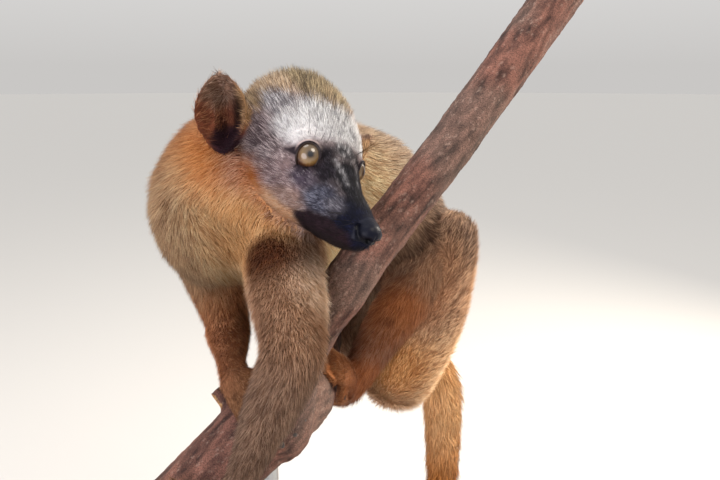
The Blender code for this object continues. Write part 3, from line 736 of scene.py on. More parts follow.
BODY_MARKS = (
    ("far arm", (-9.6, -2.2, 48.5), (3.2, 4.4, 5.5), 0.4, "#b6764b", "#e0a06c", "#6a4029", 0.32),
    ("far forearm", (-8.6, -6.0, 45.9), (2.8, 3.6, 2.6), 0.5, "#9f6847", "#d69b6d", "#533422", 0.35),
    ("knee", (5.8, 1.2, 51.2), (4.2, 3.6, 3.2), 0.4, "#8a6a56", "#b9977a", "#3a2b24", 0.45),
    ("shank", (1.0, -0.9, 42.2), (3.4, 3.6, 3.6), 0.5, "#976041", "#ac846e", "#5d3820", 0.22),
    ("under thigh", (5.0, 2.2, 39.9), (3.6, 4.0, 3.4), 0.5, "#deb38b", "#f0dbb8", "#9d7550", 0.15),
    ("ham", (2.7, 1.0, 40.9), (2.5, 2.6, 2.2), 0.6, "#ce925b", "#f3c48a", "#7f5331", 0.2),
    ("dark spot", (2.2, -2.3, 46.3), (0.6, 0.9, 0.5), 0.5, "#4a2f22", "#5f4030", "#2a1a13", 0.6),
    ("dark fleck", (5.6, -1.6, 51.4), (0.7, 1.0, 0.5), 0.6, "#4a3428", "#6a4c3a", "#2a1c15", 0.6),
    ("thigh side", (5.7, 0.2, 48.9), (1.7, 1.8, 1.8), 0.6, "#b28565", "#d8ac86", "#6d4c38", 0.32),
    ("shank side", (0.7, -1.9, 41.8), (1.1, 1.3, 1.7), 0.5, "#b06a40", "#cf8a5c", "#6b3d24", 0.22),
    ("hanging tail", (7.5, 8.1, 24.0), (6.0, 6.0, 12.5), 0.25, "#a86329", "#d38841", "#653a16", 0.28),
    ("tail root", (8.0, 7.5, 34.8), (2.8, 2.8, 4.6), 0.8, "#dba36c", "#f2c795", "#a3743f", 0.2),
    # This lighter patch on the front of the shoulder is painted light, laid where the head and the
    # branch shade the coat.
    ("breast", (-2.2, -10.2, 51.7), (1.5, 1.9, 1.7), 0.5, "#e6c3a3", "#ffe9d2", "#997a60", 0.2),
    # The throat has its own pale colour, made lighter still as painted light where the head shades it.
    ("throat", (-6.3, -7.6, 54.2), (3.0, 2.6, 2.3), 0.4, "#e5ad72", "#f8cf98", "#b27845", 0.15),
    ("shoulder", (-5.1, -9.3, 53.1), (2.0, 1.7, 1.15), 0.5, "#673b23", "#96623f", "#2f1b10", 0.4),
    ("ribs", (-10.6, -4.6, 53.2), (3.2, 4.2, 4.6), 0.5, "#b3906d", "#dbbd96", "#7c5d46", 0.3),
)
print(len(HEAD_MARKS) + len(EAR_MARKS) + len(BODY_MARKS), "markings")


# %% Lay the markings on the skin's points
def drift(points, size, seed):
    """Soft random values between 0 and 1 that change over a given distance."""
    side = 32
    lattice = np.random.default_rng(seed).random((side,) * 3)
    scaled = points / size
    cell = np.floor(scaled).astype(int)
    share = scaled - cell
    share = share * share * (3 - 2 * share)
    total = np.zeros(len(scaled))
    for corner in range(8):
        offset = np.array((corner & 1, corner >> 1 & 1, corner >> 2 & 1))
        weight = np.prod(np.where(offset, share, 1 - share), axis=1)
        total += weight * lattice[tuple(((cell + offset) % side).T)]
    return total


def shades(row):
    return np.concatenate([linear(code) for code in row[:3]] + [[row[3]]])


def marked(dye, marks, points, mask):
    """The colours with each marking laid over them, inside its lump of space and the mask."""
    ragged = (drift(points, 0.35, 5) - 0.5) * 0.22
    for _, centre, halves, soft, *row in marks:
        reach = np.linalg.norm((points - centre) / halves, axis=1) + ragged
        inside = (1 - step_up(1 - soft, 1 + soft, reach)) * mask
        dye = blend(dye, shades(row), inside[:, None])
    return dye


UPWARDS = unit(np.array([(-0.10, 0.55, 0.82)]))[0]
dye = np.zeros((len(places), 10))
for index, name in enumerate(FLESH):
    dye[part == index] = shades(HAIR[kind_of(name)])
dorsal = step_up(0.1, 0.75, normals @ UPWARDS) * belongs(part, "chest", "loin", "neck")
dorsal *= np.where(belongs(part, "neck"), 0.5, 1.0)
dye = even_out(blend(dye, shades(BACK), dorsal[:, None]), links, 60)
head_soft = even_out(is_head.astype(float)[:, None], links, 6)[:, 0]
dye = marked(dye, BODY_MARKS, places / CM, ~is_head)
dye = marked(dye, HEAD_MARKS, both_sides(head), head_soft)
dye = marked(dye, EAR_MARKS, both_sides(head), is_ear)
print("colours laid on", len(dye), "points")

# %% Fine lines of the face: the nose streak, the corner of the eye, bare rims and the lid's fold
STREAK = [(0.98, 0.72, 0.30), (1.45, 0.56, 0.02), (1.85, 0.45, -0.24), (2.25, 0.37, -0.50)]
CANTHUS = [(-0.10, 2.14, 0.02), (-0.33, 2.29, 0.02), (-0.56, 2.39, -0.06), (-0.74, 2.55, -0.12)]
WHITE_HAIR = ("#a7a4a9", "#eeecee", "#4f4b50", 0.3)
BARE_SKIN = ("#241d22", "#3a3037", "#141014", 0.3)
PALE_FOLD = ("#b09c99", "#dccbc7", "#75625f", 0.2)
ragged = 1.7 * drift(head, 0.11, 12) ** 1.6
streak_gap = follow(both_sides(head), STREAK)[0]
streak = np.clip(bump(streak_gap, 0, 0.13) * ragged, 0, 0.6) * head_soft
streak *= np.where(head[:, 1] > 0, 0.45, 1.0)
dye = blend(dye, shades(WHITE_HAIR), streak[:, None])
canthus_gap = follow(both_sides(head), CANTHUS)[0] + 0.14 * step_up(-0.20, -0.75, head[:, 0])
canthus = 1 - step_up(0.10, 0.42, canthus_gap)
liner = (1 - step_up(0.03, 0.12, lid_gap - 0.05 * lid_top)) * on_lids
liner = np.maximum(liner, np.clip(1.2 * canthus, 0, 1)) * head_soft
dye = blend(dye, shades(BARE_SKIN), liner[:, None])
fold = bump(lid_gap, 12.5 * DEGREE, 3.2 * DEGREE) * lid_top * (1 - 0.6 * canthus)
fold = 0.75 * (fold * (1 - step_up(0.1, 0.5, head[:, 0]))) * head_soft
dye = blend(dye, shades(PALE_FOLD), fold[:, None])
dye[:, :9] *= 1 + 0.22 * (drift(places, 0.022, 9) - 0.5)[:, None]
print("points in the streak", int((streak > 0.1).sum()))

# %% [markdown]
# ## The skin's finish
# Skin under fur is matt and carries the short underfur, so its colour follows the hair's, a
# little darker: partly the darker underfur, partly painted shade deep in the coat between the
# tufts. It has a fine nap in the bump. The nose is a second finish: bare, black, always moist,
# and covered in small round pebbles about 0.6 mm across.

# %% Paint the skin
# The skin is darker than the hair: partly the darker underfur, partly painted shade in the gaps
# between the tufts.
underfur_and_depth_shade = np.where(is_head, 0.62, 0.78)[:, None]
speckle = 0.75 + 0.5 * drift(places, 0.0009, 21)[:, None]
bare = step_up(0.4, 0.8, np.maximum(np.maximum(liner, fold), pad))[:, None]
nose_weight = pad * is_head
skin_colour = dye[:, :3] * (underfur_and_depth_shade + (1 - underfur_and_depth_shade) * bare) * (speckle * (1 - bare) + bare)
# The nose leather is black, with a blue cast added to its colour as a painted reflection of a pale
# sky.
skin_colour = blend(skin_colour, linear("#090b18"), nose_weight[:, None])
# The nostril openings are painted nearly black: painted shade inside the holes.
skin_colour *= 1 - 0.98 * np.clip(1.5 * pit - 0.1, 0, 1)[:, None]
paint(skin, "coat_colour", skin_colour)

# Underfur is matt and woolly: its nap scatters the light, with hardly a glint.
skin_finish, tree, shader = new_material("skin under short underfur")
coords = add_node(tree, "ShaderNodeTexCoord")
colour = add_node(tree, "ShaderNodeAttribute", {"attribute_name": "coat_colour"})
NAP = 1 / (0.7 * MM)
nap = add_node(tree, "ShaderNodeTexNoise", None,
               {"Vector": coords.outputs["Object"], "Scale": NAP, "Detail": 2.0})
rough = add_node(tree, "ShaderNodeBump", None,
                 {"Strength": 0.5, "Distance": 0.5 * MM, "Height": nap.outputs["Fac"]})
fill(tree, shader, {"Base Color": colour.outputs["Color"], "Normal": rough.outputs["Normal"],
                    "Roughness": 0.8, "Specular IOR Level": 0.12})

# Nose leather is always damp, so it has a soft sheen that its pebbles break up.
nose_finish, tree, shader = new_material("moist pebbled nose leather")
coords = add_node(tree, "ShaderNodeTexCoord")
colour = add_node(tree, "ShaderNodeAttribute", {"attribute_name": "coat_colour"})
PEBBLE = 1 / (0.6 * MM)
pebbles = add_node(tree, "ShaderNodeTexVoronoi", {"feature": "SMOOTH_F1"},
                   {"Vector": coords.outputs["Object"], "Scale": PEBBLE})
rough = add_node(tree, "ShaderNodeBump", {"invert": True},
                 {"Strength": 0.35, "Distance": 0.25 * MM, "Height": pebbles.outputs["Distance"]})
fill(tree, shader, {"Base Color": colour.outputs["Color"], "Normal": rough.outputs["Normal"],
                    "Roughness": 0.42, "Specular IOR Level": 0.13})

dress(skin, skin_finish)
skin.data.materials.append(nose_finish)
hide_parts(*FLESH)
moist = (nose_weight > 0.5) | ((lid_gap < 0.12) & (lid_gap > -0.4))
for polygon in skin.data.polygons:
    if moist[list(polygon.vertices)].all():
        polygon.material_index = 1
print("skin painted")

# %% [markdown]
# ## The coat
# Hair could be grown by a particle system, but those strands don't leave Blender as solid mesh.
# Here every tuft is a small closed spike with a three-sided root, bent so that it lies back along
# the body. On the tail, where hair is longest, it has a three-sided middle as well. All tufts of
# a region are one joined mesh. Roots are scattered over the skin's triangles, and each takes its
# run, length and colours from the skin below it. Neighbouring tufts lean together in small locks,
# because real hair clumps.

# %% Where roots may stand
mesh = skin.data
mesh.calc_loop_triangles()
tri = grid(mesh.loop_triangles, "vertices", 3, np.int32)
skin_uv = grid(mesh.uv_layers["OFBake"].uv, "vector", 2).astype(float)
tri_uv = skin_uv[grid(mesh.loop_triangles, "loops", 3, np.int32)]
places = points_of(skin)
normals = points_of(skin, "normal")
edge_a, edge_b = places[tri[:, 1]] - places[tri[:, 0]], places[tri[:, 2]] - places[tri[:, 0]]
area = np.linalg.norm(np.cross(edge_a, edge_b), axis=1) / 2 / MM**2
run = unit(run - normals * (run * normals).sum(1)[:, None])

lid_edge = np.where(on_lids, lid_gap + (2 - 8 * lid_top) * DEGREE, 1.0)
thick = coat[:, CROWD] * (1 - bump(lip_gap, 0, 0.07) * is_head)
thick *= step_up(3 * DEGREE, 10 * DEGREE, lid_edge)
thick *= 1 - 0.5 * canthus * is_head
thick *= 1 - nose_weight
thick[pit > 0.3] = 0
for name, side in SIDES:
    middle, axes = ear_axes(side)
    local = (head - middle) @ axes.T
    inner = belongs(part, f"ear_{name}") & ((normals @ HEAD_AXES.T) @ axes[2] > 0.2)
    thick[inner] *= (1 - 0.85 * np.exp(-oval(local, (0.2, -1.1), (0.6, 1.3)) ** 2))[inner]
    coat[inner, LENGTH] += 1.6 * step_up(0.2, 0.8, local[inner, 0])

bark_tree, _ = surface_of(["perch_branch"])
head_tree = KDTree(len(places))
for index in np.flatnonzero(is_head | is_ear):
    head_tree.insert(Vector(places[index]), int(index))
head_tree.balance()
print("bare triangles", int((thick[tri].max(axis=1) < 0.05).sum()))

# %% Hair as a finish
# Lemur hair is fine and woolly: it is matt, and only a faint sheen runs along a lock.
fur_finish, tree, shader = new_material("soft woolly hair, grizzled")
colour = add_node(tree, "ShaderNodeAttribute", {"attribute_name": "coat_colour"})
fill(tree, shader, {"Base Color": colour.outputs["Color"], "Roughness": 0.62,
                    "Specular IOR Level": 0.14})

# %% Build the tufts of one region
NEAR_BARK, BARK_CLEARANCE = 5 * MM, 1 * MM
SPECKLE, LOCK_SIZE = 1.3 * MM, 6 * MM
ROOT_DEPTH = 0.5 * MM
OUT_OF_LOCK, OUT_OF_LINE = 0.16, 0.10
# How far the tufts of one lock lean together, by slot.
LOCK = {"fur_crown": 0.3, "fur_ruff": 0.28, "fur_body": 0.36, "fur_rump": 0.38, "fur_tail": 0.5,
        "hand_skin": 0.3}
# Faces of a tuft, which part each point is of (root 0, middle 1, tip 2), and its patch of the
# bake map, 3 thousandths across.
BENT = (((0, 1, 2), (0, 3, 4), (0, 4, 1), (1, 4, 5), (1, 5, 2), (2, 5, 3), (2, 3, 0),
         (3, 6, 4), (4, 6, 5), (5, 6, 3)), (0, 0, 0, 1, 1, 1, 2),
        ((-1, 0), (1, 0), (0, -1), (-1, 0.6), (1, 0.6), (0, 0.4), (0, 1)))
STRAIGHT = (((0, 1, 2), (0, 3, 1), (1, 3, 2), (2, 3, 0)), (0, 0, 0, 2),
            ((-1, 0), (1, 0), (0, -1), (0, 1)))
PATCH_HALF = 0.0015


def clear_of_bark(root, normal):
    """Whether a tuft has room to stand: not in the branch, and not pointing into it."""
    spot, _, _, gap = bark_tree.find_nearest(Vector(root), NEAR_BARK)
    return gap is None or gap > BARK_CLEARANCE and (np.array(spot) - root) @ normal < 0.5 * gap


def spikes(rng, root, normal, flow, sizes, lock):
    """The rings and the tip of every tuft, each laid along the flow of the hair."""
    count = len(root)
    length, width, rise = sizes
    flow = unit(flow + rng.normal(0, OUT_OF_LOCK, (count, 3)))
    flow = unit(flow - normal * (flow * normal).sum(1)[:, None])
    across = np.cross(normal, flow)
    lift = rise * (0.75 + 0.5 * rng.random(count)) + 0.3 * lock[:, 0]
    length = length * (0.78 + 0.44 * rng.random(count))
    first = flow * np.cos(lift)[:, None] + normal * np.sin(lift)[:, None]
    late = lift * (0.6 - 0.4 * rng.random(count))
    second = flow * np.cos(late)[:, None] + normal * np.sin(late)[:, None]
    second = unit(second + across * rng.normal(0, OUT_OF_LINE, count)[:, None])
    base = root - normal * ROOT_DEPTH
    middle = base + first * (0.5 * length)[:, None]
    tip = middle + second * (0.5 * length)[:, None]
    rings = []
    for centre, ahead, size in ((base, first, 0.5), (middle, (first + second) / 2, 0.36)):
        over = unit(np.cross(ahead, across))
        for turn in (90, 210, 330):
            angle = math.radians(turn)
            spoke = across * math.cos(angle) - over * (0.6 * math.sin(angle))
            rings.append(centre + spoke * (width * size)[:, None])
    return rings, tip


def hair_shades(rng, root, colours, seed, slot):
    """Root, middle and tip colours of every tuft, with pale and dark tips in small specks, and a root
    darker partly as a hair's base is and partly by painted shade deep in the coat.
    """
    count = len(root)
    mix = 0.55 * rng.random(count) + drift(root, SPECKLE, seed + 7)
    pick = ((np.argsort(np.argsort(mix)) + 0.5) / count)[:, None]
    spread, shadow = (0.28, 0.7) if slot == "fur_crown" else (0.18, 0.84)
    shade = 1 + spread * (rng.random(count)[:, None] - 0.5)
    body, pale, dark, dark_share = np.split(colours, (3, 6, 9), axis=1)
    ends = np.where(pick < dark_share, dark, np.where(pick < 0.5 + dark_share / 2, body, pale))
    mids = np.where(pick < dark_share, body * 0.9, (body + pale) / 2)
    # Roots are darkened by the shadow factor: partly a hair's darker base, partly painted shade deep
    # in the coat.
    return np.stack([body * shadow, mids, ends], axis=1) * shade[:, None]


def tufts(name, chosen, seed, slot, share, form):
    """One coat piece: closed spikes rooted on the chosen triangles of the skin."""
    rng = np.random.default_rng(seed)
    faces = np.flatnonzero(chosen)
    wanted = area[faces] * thick[tri[faces]].mean(axis=1) * share
    face = np.repeat(faces, np.floor(wanted + rng.random(len(faces))).astype(int))
    weights = rng.random((len(face), 2))
    flip = weights.sum(1) > 1
    weights[flip] = 1 - weights[flip]
    weights = np.column_stack((1 - weights.sum(1), weights))

    def on_skin(corners):
        return (corners * weights[:, :, None]).sum(axis=1)

    root, normal = on_skin(places[tri[face]]), unit(on_skin(normals[tri[face]]))
    keep = np.array([clear_of_bark(*pair) for pair in zip(root, normal)], bool)
    hair = on_skin(coat[tri[face]])[keep]
    length, width, rise = hair[:, LENGTH] * MM, hair[:, WIDTH] * MM, np.radians(hair[:, RISE])
    colours = on_skin(dye[tri[face]])[keep]
    flow, uv = on_skin(run[tri[face]])[keep], on_skin(tri_uv[face])[keep]
    root, normal = root[keep], normal[keep]
    if slot == "fur_crown":
        reach = root + unit(flow) * (0.6 * length)[:, None]
        near = np.array([head_tree.find(Vector(place))[1] for place in reach])
        colours = dye[near]
        length = length * (1 - 0.6 * canthus[near] * is_head[near])
    lock = np.column_stack([drift(root, LOCK_SIZE, seed + 3 + axis) - 0.5 for axis in range(3)])
    lean = unit(flow) + lock * LOCK[slot]
    rings, tip = spikes(rng, root, normal, lean, (length, width, rise), lock)
    shape, stage, patch = (np.array(rows) for rows in form)
    count, per = len(root), len(stage)
    points = np.stack([*rings[:per - 1], tip], axis=1)
    corners = (shape[None] + np.arange(count)[:, None, None] * per).reshape(-1)
    mesh = bpy.data.meshes.new(name)
    mesh.vertices.add(count * per)
    mesh.vertices.foreach_set("co", points.astype(np.float32).ravel())
    mesh.loops.add(len(corners))
    mesh.loops.foreach_set("vertex_index", corners.astype(np.int32))
    mesh.polygons.add(len(corners) // 3)
    mesh.polygons.foreach_set("loop_start", np.arange(0, len(corners), 3, dtype=np.int32))
    mesh.polygons.foreach_set("use_smooth", np.ones(len(corners) // 3, bool))
    mesh.update(calc_edges=True)
    piece = placed(name, mesh)
    spread = np.clip(uv[:, None] + patch[None] * PATCH_HALF, 0, 1).reshape(-1, 2)
    spread = spread[corners].astype(np.float32).ravel()
    mesh.uv_layers.new(name="OFBake").uv.foreach_set("vector", spread)
    steps = hair_shades(rng, root, colours, seed, slot)
    paint(piece, "coat_colour", steps[:, stage].reshape(-1, 3))
    dress(piece, fur_finish)
    print(name, count, "tufts,", len(corners) // 3, "triangles")


# %% Cover the body, region by region
tri_part = part[tri[:, 0]]
tri_middle = places[tri].mean(axis=1)
tri_head = to_head(tri_middle)
on_face = belongs(tri_part, "head") & (tri_head[:, 0] > -1.0)
on_crown = belongs(tri_part, "head") & ~on_face
left_face = tri_head[:, 1] > 0
TRUNK_MIDDLE, TRUNK_LEFT = np.array((-3.5, 0, 54.4)), np.array((0.66, -0.75, 0.0))
on_left = (tri_middle / CM - TRUNK_MIDDLE) @ TRUNK_LEFT > 0
on_chest = belongs(tri_part, "chest")
REGIONS = (
    ("coat_face_left", on_face & left_face, "fur_crown", STRAIGHT),
    ("coat_face_right", on_face & ~left_face, "fur_crown", STRAIGHT),
    ("coat_crown_left", on_crown & left_face, "fur_crown", STRAIGHT),
    ("coat_crown_right", on_crown & ~left_face, "fur_crown", STRAIGHT),
    ("coat_ears", belongs(tri_part, "ear"), "fur_crown", STRAIGHT),
    ("coat_neck", belongs(tri_part, "neck"), "fur_ruff", STRAIGHT),
    ("coat_chest_left", on_chest & on_left, "fur_body", STRAIGHT),
    ("coat_chest_right", on_chest & ~on_left, "fur_body", STRAIGHT),
    ("coat_loin", belongs(tri_part, "loin"), "fur_body", STRAIGHT),
    ("coat_rump", belongs(tri_part, "rump"), "fur_rump", STRAIGHT),
    ("coat_arm_left", belongs(tri_part, "upper_arm_left", "forearm_left"), "fur_body", STRAIGHT),
    ("coat_arm_right", belongs(tri_part, "upper_arm_right", "forearm_right"), "fur_body", STRAIGHT),
    ("coat_leg_left", belongs(tri_part, "thigh_left", "lower_leg_left"), "fur_body", STRAIGHT),
    ("coat_leg_right", belongs(tri_part, "thigh_right", "lower_leg_right"), "fur_body", STRAIGHT),
    ("coat_hands_and_feet", belongs(tri_part, "hand", "foot"), "hand_skin", STRAIGHT),
    ("coat_tail_upper", belongs(tri_part, "tail_1", "tail_2"), "fur_tail", BENT),
    ("coat_tail_lower", belongs(tri_part, "tail_3", "tail_4"), "fur_tail", BENT),
)
SHARE = 1.0
for order, (name, chosen, slot, form) in enumerate(REGIONS):
    tufts(name, chosen, 100 + 10 * order, slot, SHARE, form)

# %% [markdown]
# ## Whiskers and nails
# A lemur has a few long dark feelers on its lips and over its eyes, which it uses in the dark.
# Each is one thin tapered strand that stands out from the short coat. Every finger and toe ends
# in a small flat nail of dark horn, which is a squashed ball bent a little over the tip.

# %% Whiskers and brow hairs
# First and last root on one side of the head, how many, their way, and their length in mm.
WHISKERS = (
    ((3.3, 0.85, -1.75), (4.2, 0.75, -1.95), 5, (0.15, 1.0, -0.10), 16),
    ((3.2, 0.90, -2.30), (4.1, 0.80, -2.40), 4, (0.10, 1.0, -0.45), 13),
    ((0.45, 1.15, 1.05), (-0.35, 1.90, 1.10), 4, (0.60, 0.25, 0.75), 22),
)
HAIR_STEPS, HAIR_RADIUS = 7, 0.11 * MM
HAIR_BEND = np.array((-0.30, 0.0, -0.12))
PATCH_ACROSS = 0.0012
point_uv = np.zeros((len(places), 2))
point_uv[tri] = tri_uv
points, triangles, spots = [], [], []


def strand(near, aim, length):
    """Add one thin three-sided hair that starts at a point of the skin."""
    start = len(points)
    across = unit(np.cross([aim], [(0.3, 0.2, 0.9)]))[0]
    for along in np.arange(HAIR_STEPS) / (HAIR_STEPS - 1):
        centre = places[near] + (aim * along + HAIR_BEND * along**2) @ HEAD_AXES * length
        for turn in range(3):
            angle = 2 * math.pi * turn / 3
            spoke = across * math.cos(angle) + np.cross(aim, across) * math.sin(angle)
            points.append(centre + spoke @ HEAD_AXES * HAIR_RADIUS * (1 - 0.9 * along))
            spots.append(point_uv[near] + (PATCH_ACROSS * math.cos(angle),
                                           PATCH_HALF * (2 * along - 1)))
    end = start + (HAIR_STEPS - 1) * 3
    for ring in range(start, end, 3):
        for a, b in ((ring, ring + 1), (ring + 1, ring + 2), (ring + 2, ring)):
            triangles.extend([(a, b, b + 3), (a, b + 3, a + 3)])
    triangles.extend([(start, start + 2, start + 1), (end, end + 1, end + 2)])


rng = np.random.default_rng(300)
for first, last, count, way, length in WHISKERS:
    for _, side in SIDES:
        for share in np.linspace(0, 1, count):
            root = blend(np.array(first), np.array(last), share) * (1, side, 1)
            aim = unit(np.array([way]) + rng.normal(0, 0.12, (1, 3)))[0] * (1, side, 1)
            strand(head_tree.find(from_head(root))[1], aim, length * MM * rng.uniform(0.8, 1.15))
mesh = bpy.data.meshes.new("whiskers")
mesh.from_pydata([tuple(point) for point in points], [], triangles)
whiskers = placed("whiskers", mesh)
corner_spots = np.clip(np.array(spots)[np.array(triangles).ravel()], 0, 1)
mesh.uv_layers.new(name="OFBake").uv.foreach_set("vector", corner_spots.ravel())
paint(whiskers, "coat_colour", np.tile(linear("#1d1714"), (len(points), 1)))
lone(whiskers)
bpy.ops.object.shade_smooth()
dress(whiskers, fur_finish)
print("whiskers", len(points) // (3 * HAIR_STEPS), "strands")

# %% Nails
STEM = [(-13, -13.9, 36.4), (-8.75, -10.3, 39.7), (-4.9, -7, 42.4), (-3.8, -4.3, 42),
        (-3.5, -1.5, 42), (-3.4, 1.5, 42.2), (-3.2, 4.6, 42.2)]
# Joint, stretch of the stem held, its radius, way round, digits and thumb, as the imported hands
# and feet have them: start and sweep in degrees, then spread, lean and size in cm.
GRIPS = (
    (ARMS["left"][2], 1, 0, 2.3, -1, (38, 64, 0.75, 0.2, 0.34), (10, -62, 1.3, 0.36)),
    (ARMS["right"][2], 2, 1, 2.4, -1, (38, 58, 0.75, 0.2, 0.34), (10, -62, -1.3, 0.36)),
    (LEGS["left"][2], 4, 5, 1.98, -1, (66, 78, 0.68, -2.5, 0.33), (36, -14, -2.8, 0.40)),
    (LEGS["right"][2], 4, 5, 1.98, 1, (66, 78, 0.68, -2.5, 0.33), (36, -14, -2.8, 0.40)),
)
NAIL = np.array((0.24, 0.17, 0.05))
THUMB_NAIL = 1.15
TIP_BACK = 4


def round_stem(joint, start, end, radius, turn):
    """A function that gives a place round the stem, and which way is out and which is onward."""
    joint, start, end = np.array(joint), np.array(STEM[start]), np.array(STEM[end])
    along = (end - start) / np.linalg.norm(end - start)
    centre = start + along * ((joint - start) @ along)
    outward = (joint - centre) / np.linalg.norm(joint - centre)
    onward = np.cross(along, outward) * turn

    def place(degrees, height, advance):
        angle = math.radians(degrees)
        spoke = outward * math.cos(angle) + onward * math.sin(angle)
        ahead = onward * math.cos(angle) - outward * math.sin(angle)
        return centre + along * advance + spoke * (radius + height), spoke, ahead

    return place


def add_nail(spot, spoke, ahead, grow):
    """One nail on a fingertip: a squashed ball whose edges bend down over the tip."""
    bpy.ops.object.select_all(action="DESELECT")
    bpy.ops.mesh.primitive_uv_sphere_add(segments=16, ring_count=8, radius=1.0)
    nail = bpy.context.object
    own = points_of(nail)
    own[:, 2] -= 1.4 * own[:, 0] ** 2 + 1.2 * own[:, 1] ** 2
    axes = np.array((ahead, np.cross(spoke, ahead), spoke))
    move_points(nail, (own * NAIL * grow @ axes + spot) * CM)
    return nail


nails = []
for joint, start, end, radius, turn, digits, thumb in GRIPS:
    place = round_stem(joint, start, end, radius, turn)
    begin, sweep, spread, lean, size = digits
    for order in range(4):
        angle = begin + sweep * (1 - 0.10 * abs(order - 1.3)) - TIP_BACK
        offset = (order - 1.5) * spread
        nails.append(add_nail(*place(angle, size * 1.75, lean + offset * 1.25), size / 0.34))
    begin, sweep, advance, size = thumb
    way = math.copysign(1, sweep)
    spot, spoke, ahead = place(begin + sweep - way * TIP_BACK, size * 1.65, advance)
    nails.append(add_nail(spot, spoke, ahead * way, THUMB_NAIL))
nails = joined(nails)
nails.name = "nails"
bpy.ops.object.shade_smooth()
# Horn is smooth and dense, so a nail has a soft gloss where the hair round it has none.
horn, tree, shader = new_material("dark horn of the nails")
fill(tree, shader, {"Base Color": "#2c231f", "Roughness": 0.4})
dress(nails, horn)
print(len(GRIPS) * 5, "nails")

# %% [markdown]
# ## Eyes
# A lemur's eye is nearly all iris: amber, with fine spokes, a small pupil and a dark ring at its
# edge, under a clear wet bulge. One ball is made for each eye, turned to its look, and its front
# is drawn out a little for the bulge. The pattern is drawn by the ball's own attribute, so it
# stays with the eye, and the shader's clear coat gives the wet glint.

# %% The finish of an eye
PUPIL_TO_RIM = ((0.0, "#0b0a0e"), (0.205, "#141116"), (0.24, "#33271d"), (0.34, "#63503a"),
                (0.56, "#6f5632"), (0.70, "#54391d"), (0.82, "#2c180f"), (0.94, "#120b07"))
# The iris is a dull fibrous bowl, and the clear coat is the tear film. Its colour carries painted
# shade at the top, under the upper lid, and painted light at the bottom.
iris, tree, shader = new_material("wet eye with an amber iris")
spot = add_node(tree, "ShaderNodeAttribute", {"attribute_name": "off_axis"})
split = add_node(tree, "ShaderNodeSeparateXYZ", None, {"Vector": spot.outputs["Vector"]})
flat = add_node(tree, "ShaderNodeCombineXYZ", None,
                {"X": split.outputs["X"], "Y": split.outputs["Y"]})
reach = add_node(tree, "ShaderNodeVectorMath", {"operation": "LENGTH"}, {0: flat.outputs["Vector"]})
around = add_node(tree, "ShaderNodeVectorMath", {"operation": "NORMALIZE"},
                  {0: flat.outputs["Vector"]})
spokes = add_node(tree, "ShaderNodeTexNoise", None,
                  {"Vector": around.outputs["Vector"], "Scale": 9.0, "Detail": 4.0})
wander = add_node(tree, "ShaderNodeMath", {"operation": "MULTIPLY_ADD"},
                  {0: spokes.outputs["Fac"], 1: 0.16, 2: reach.outputs["Value"]})
ramp = add_node(tree, "ShaderNodeValToRGB", None, {"Fac": wander.outputs["Value"]}, PUPIL_TO_RIM)
# Painted shade and light: the iris colour is scaled from bright at the bottom to dark at the top.
lid_shade_and_lower_light = add_node(tree, "ShaderNodeMapRange", None,
                {"Value": split.outputs["Y"], "From Min": -0.75, "From Max": 0.75,
                 "To Min": 1.5, "To Max": 0.24})
lit = add_node(tree, "ShaderNodeVectorMath", {"operation": "SCALE"},
               {0: ramp.outputs["Color"], "Scale": lid_shade_and_lower_light.outputs["Result"]})
fill(tree, shader, {"Base Color": lit.outputs["Vector"], "Roughness": 0.28, "IOR": 1.38,
                    "Coat Weight": 1.0, "Coat Roughness": 0.06})
print("iris from pupil to rim in", len(PUPIL_TO_RIM), "colours")

# %% The eyeballs
GAZE_TURN, GAZE_RISE = math.radians(29), 0.20
BULGE = 0.05
IRIS_SPREAD = (0.88, 0.88, 1)
for name, side in SIDES:
    bpy.ops.object.select_all(action="DESELECT")
    bpy.ops.mesh.primitive_uv_sphere_add(segments=72, ring_count=48, radius=1.0)
    ball = bpy.context.object
    ball.name = f"eyeball_{name}"
    own = points_of(ball)
    mark = ball.data.attributes.new("off_axis", "FLOAT_VECTOR", "POINT")
    mark.data.foreach_set("vector", (own * IRIS_SPREAD).astype(np.float32).ravel())
    gaze = np.array((math.cos(GAZE_TURN), side * math.sin(GAZE_TURN), GAZE_RISE))
    gaze = gaze / np.linalg.norm(gaze) @ HEAD_AXES
    sideways = np.cross(np.array(HEAD_UP), gaze)
    sideways /= np.linalg.norm(sideways)
    turn = np.array((sideways, np.cross(gaze, sideways), gaze))
    size = (1 + BULGE * step_up(0.45, 1.0, own[:, 2])) * EYE_RADIUS * CM
    move_points(ball, own * size[:, None] @ turn + from_head(eye_place(side)))
    lone(ball)
    bpy.ops.object.shade_smooth()
    dress(ball, iris)
    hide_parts(f"eye_{name}")
print("two eyeballs")

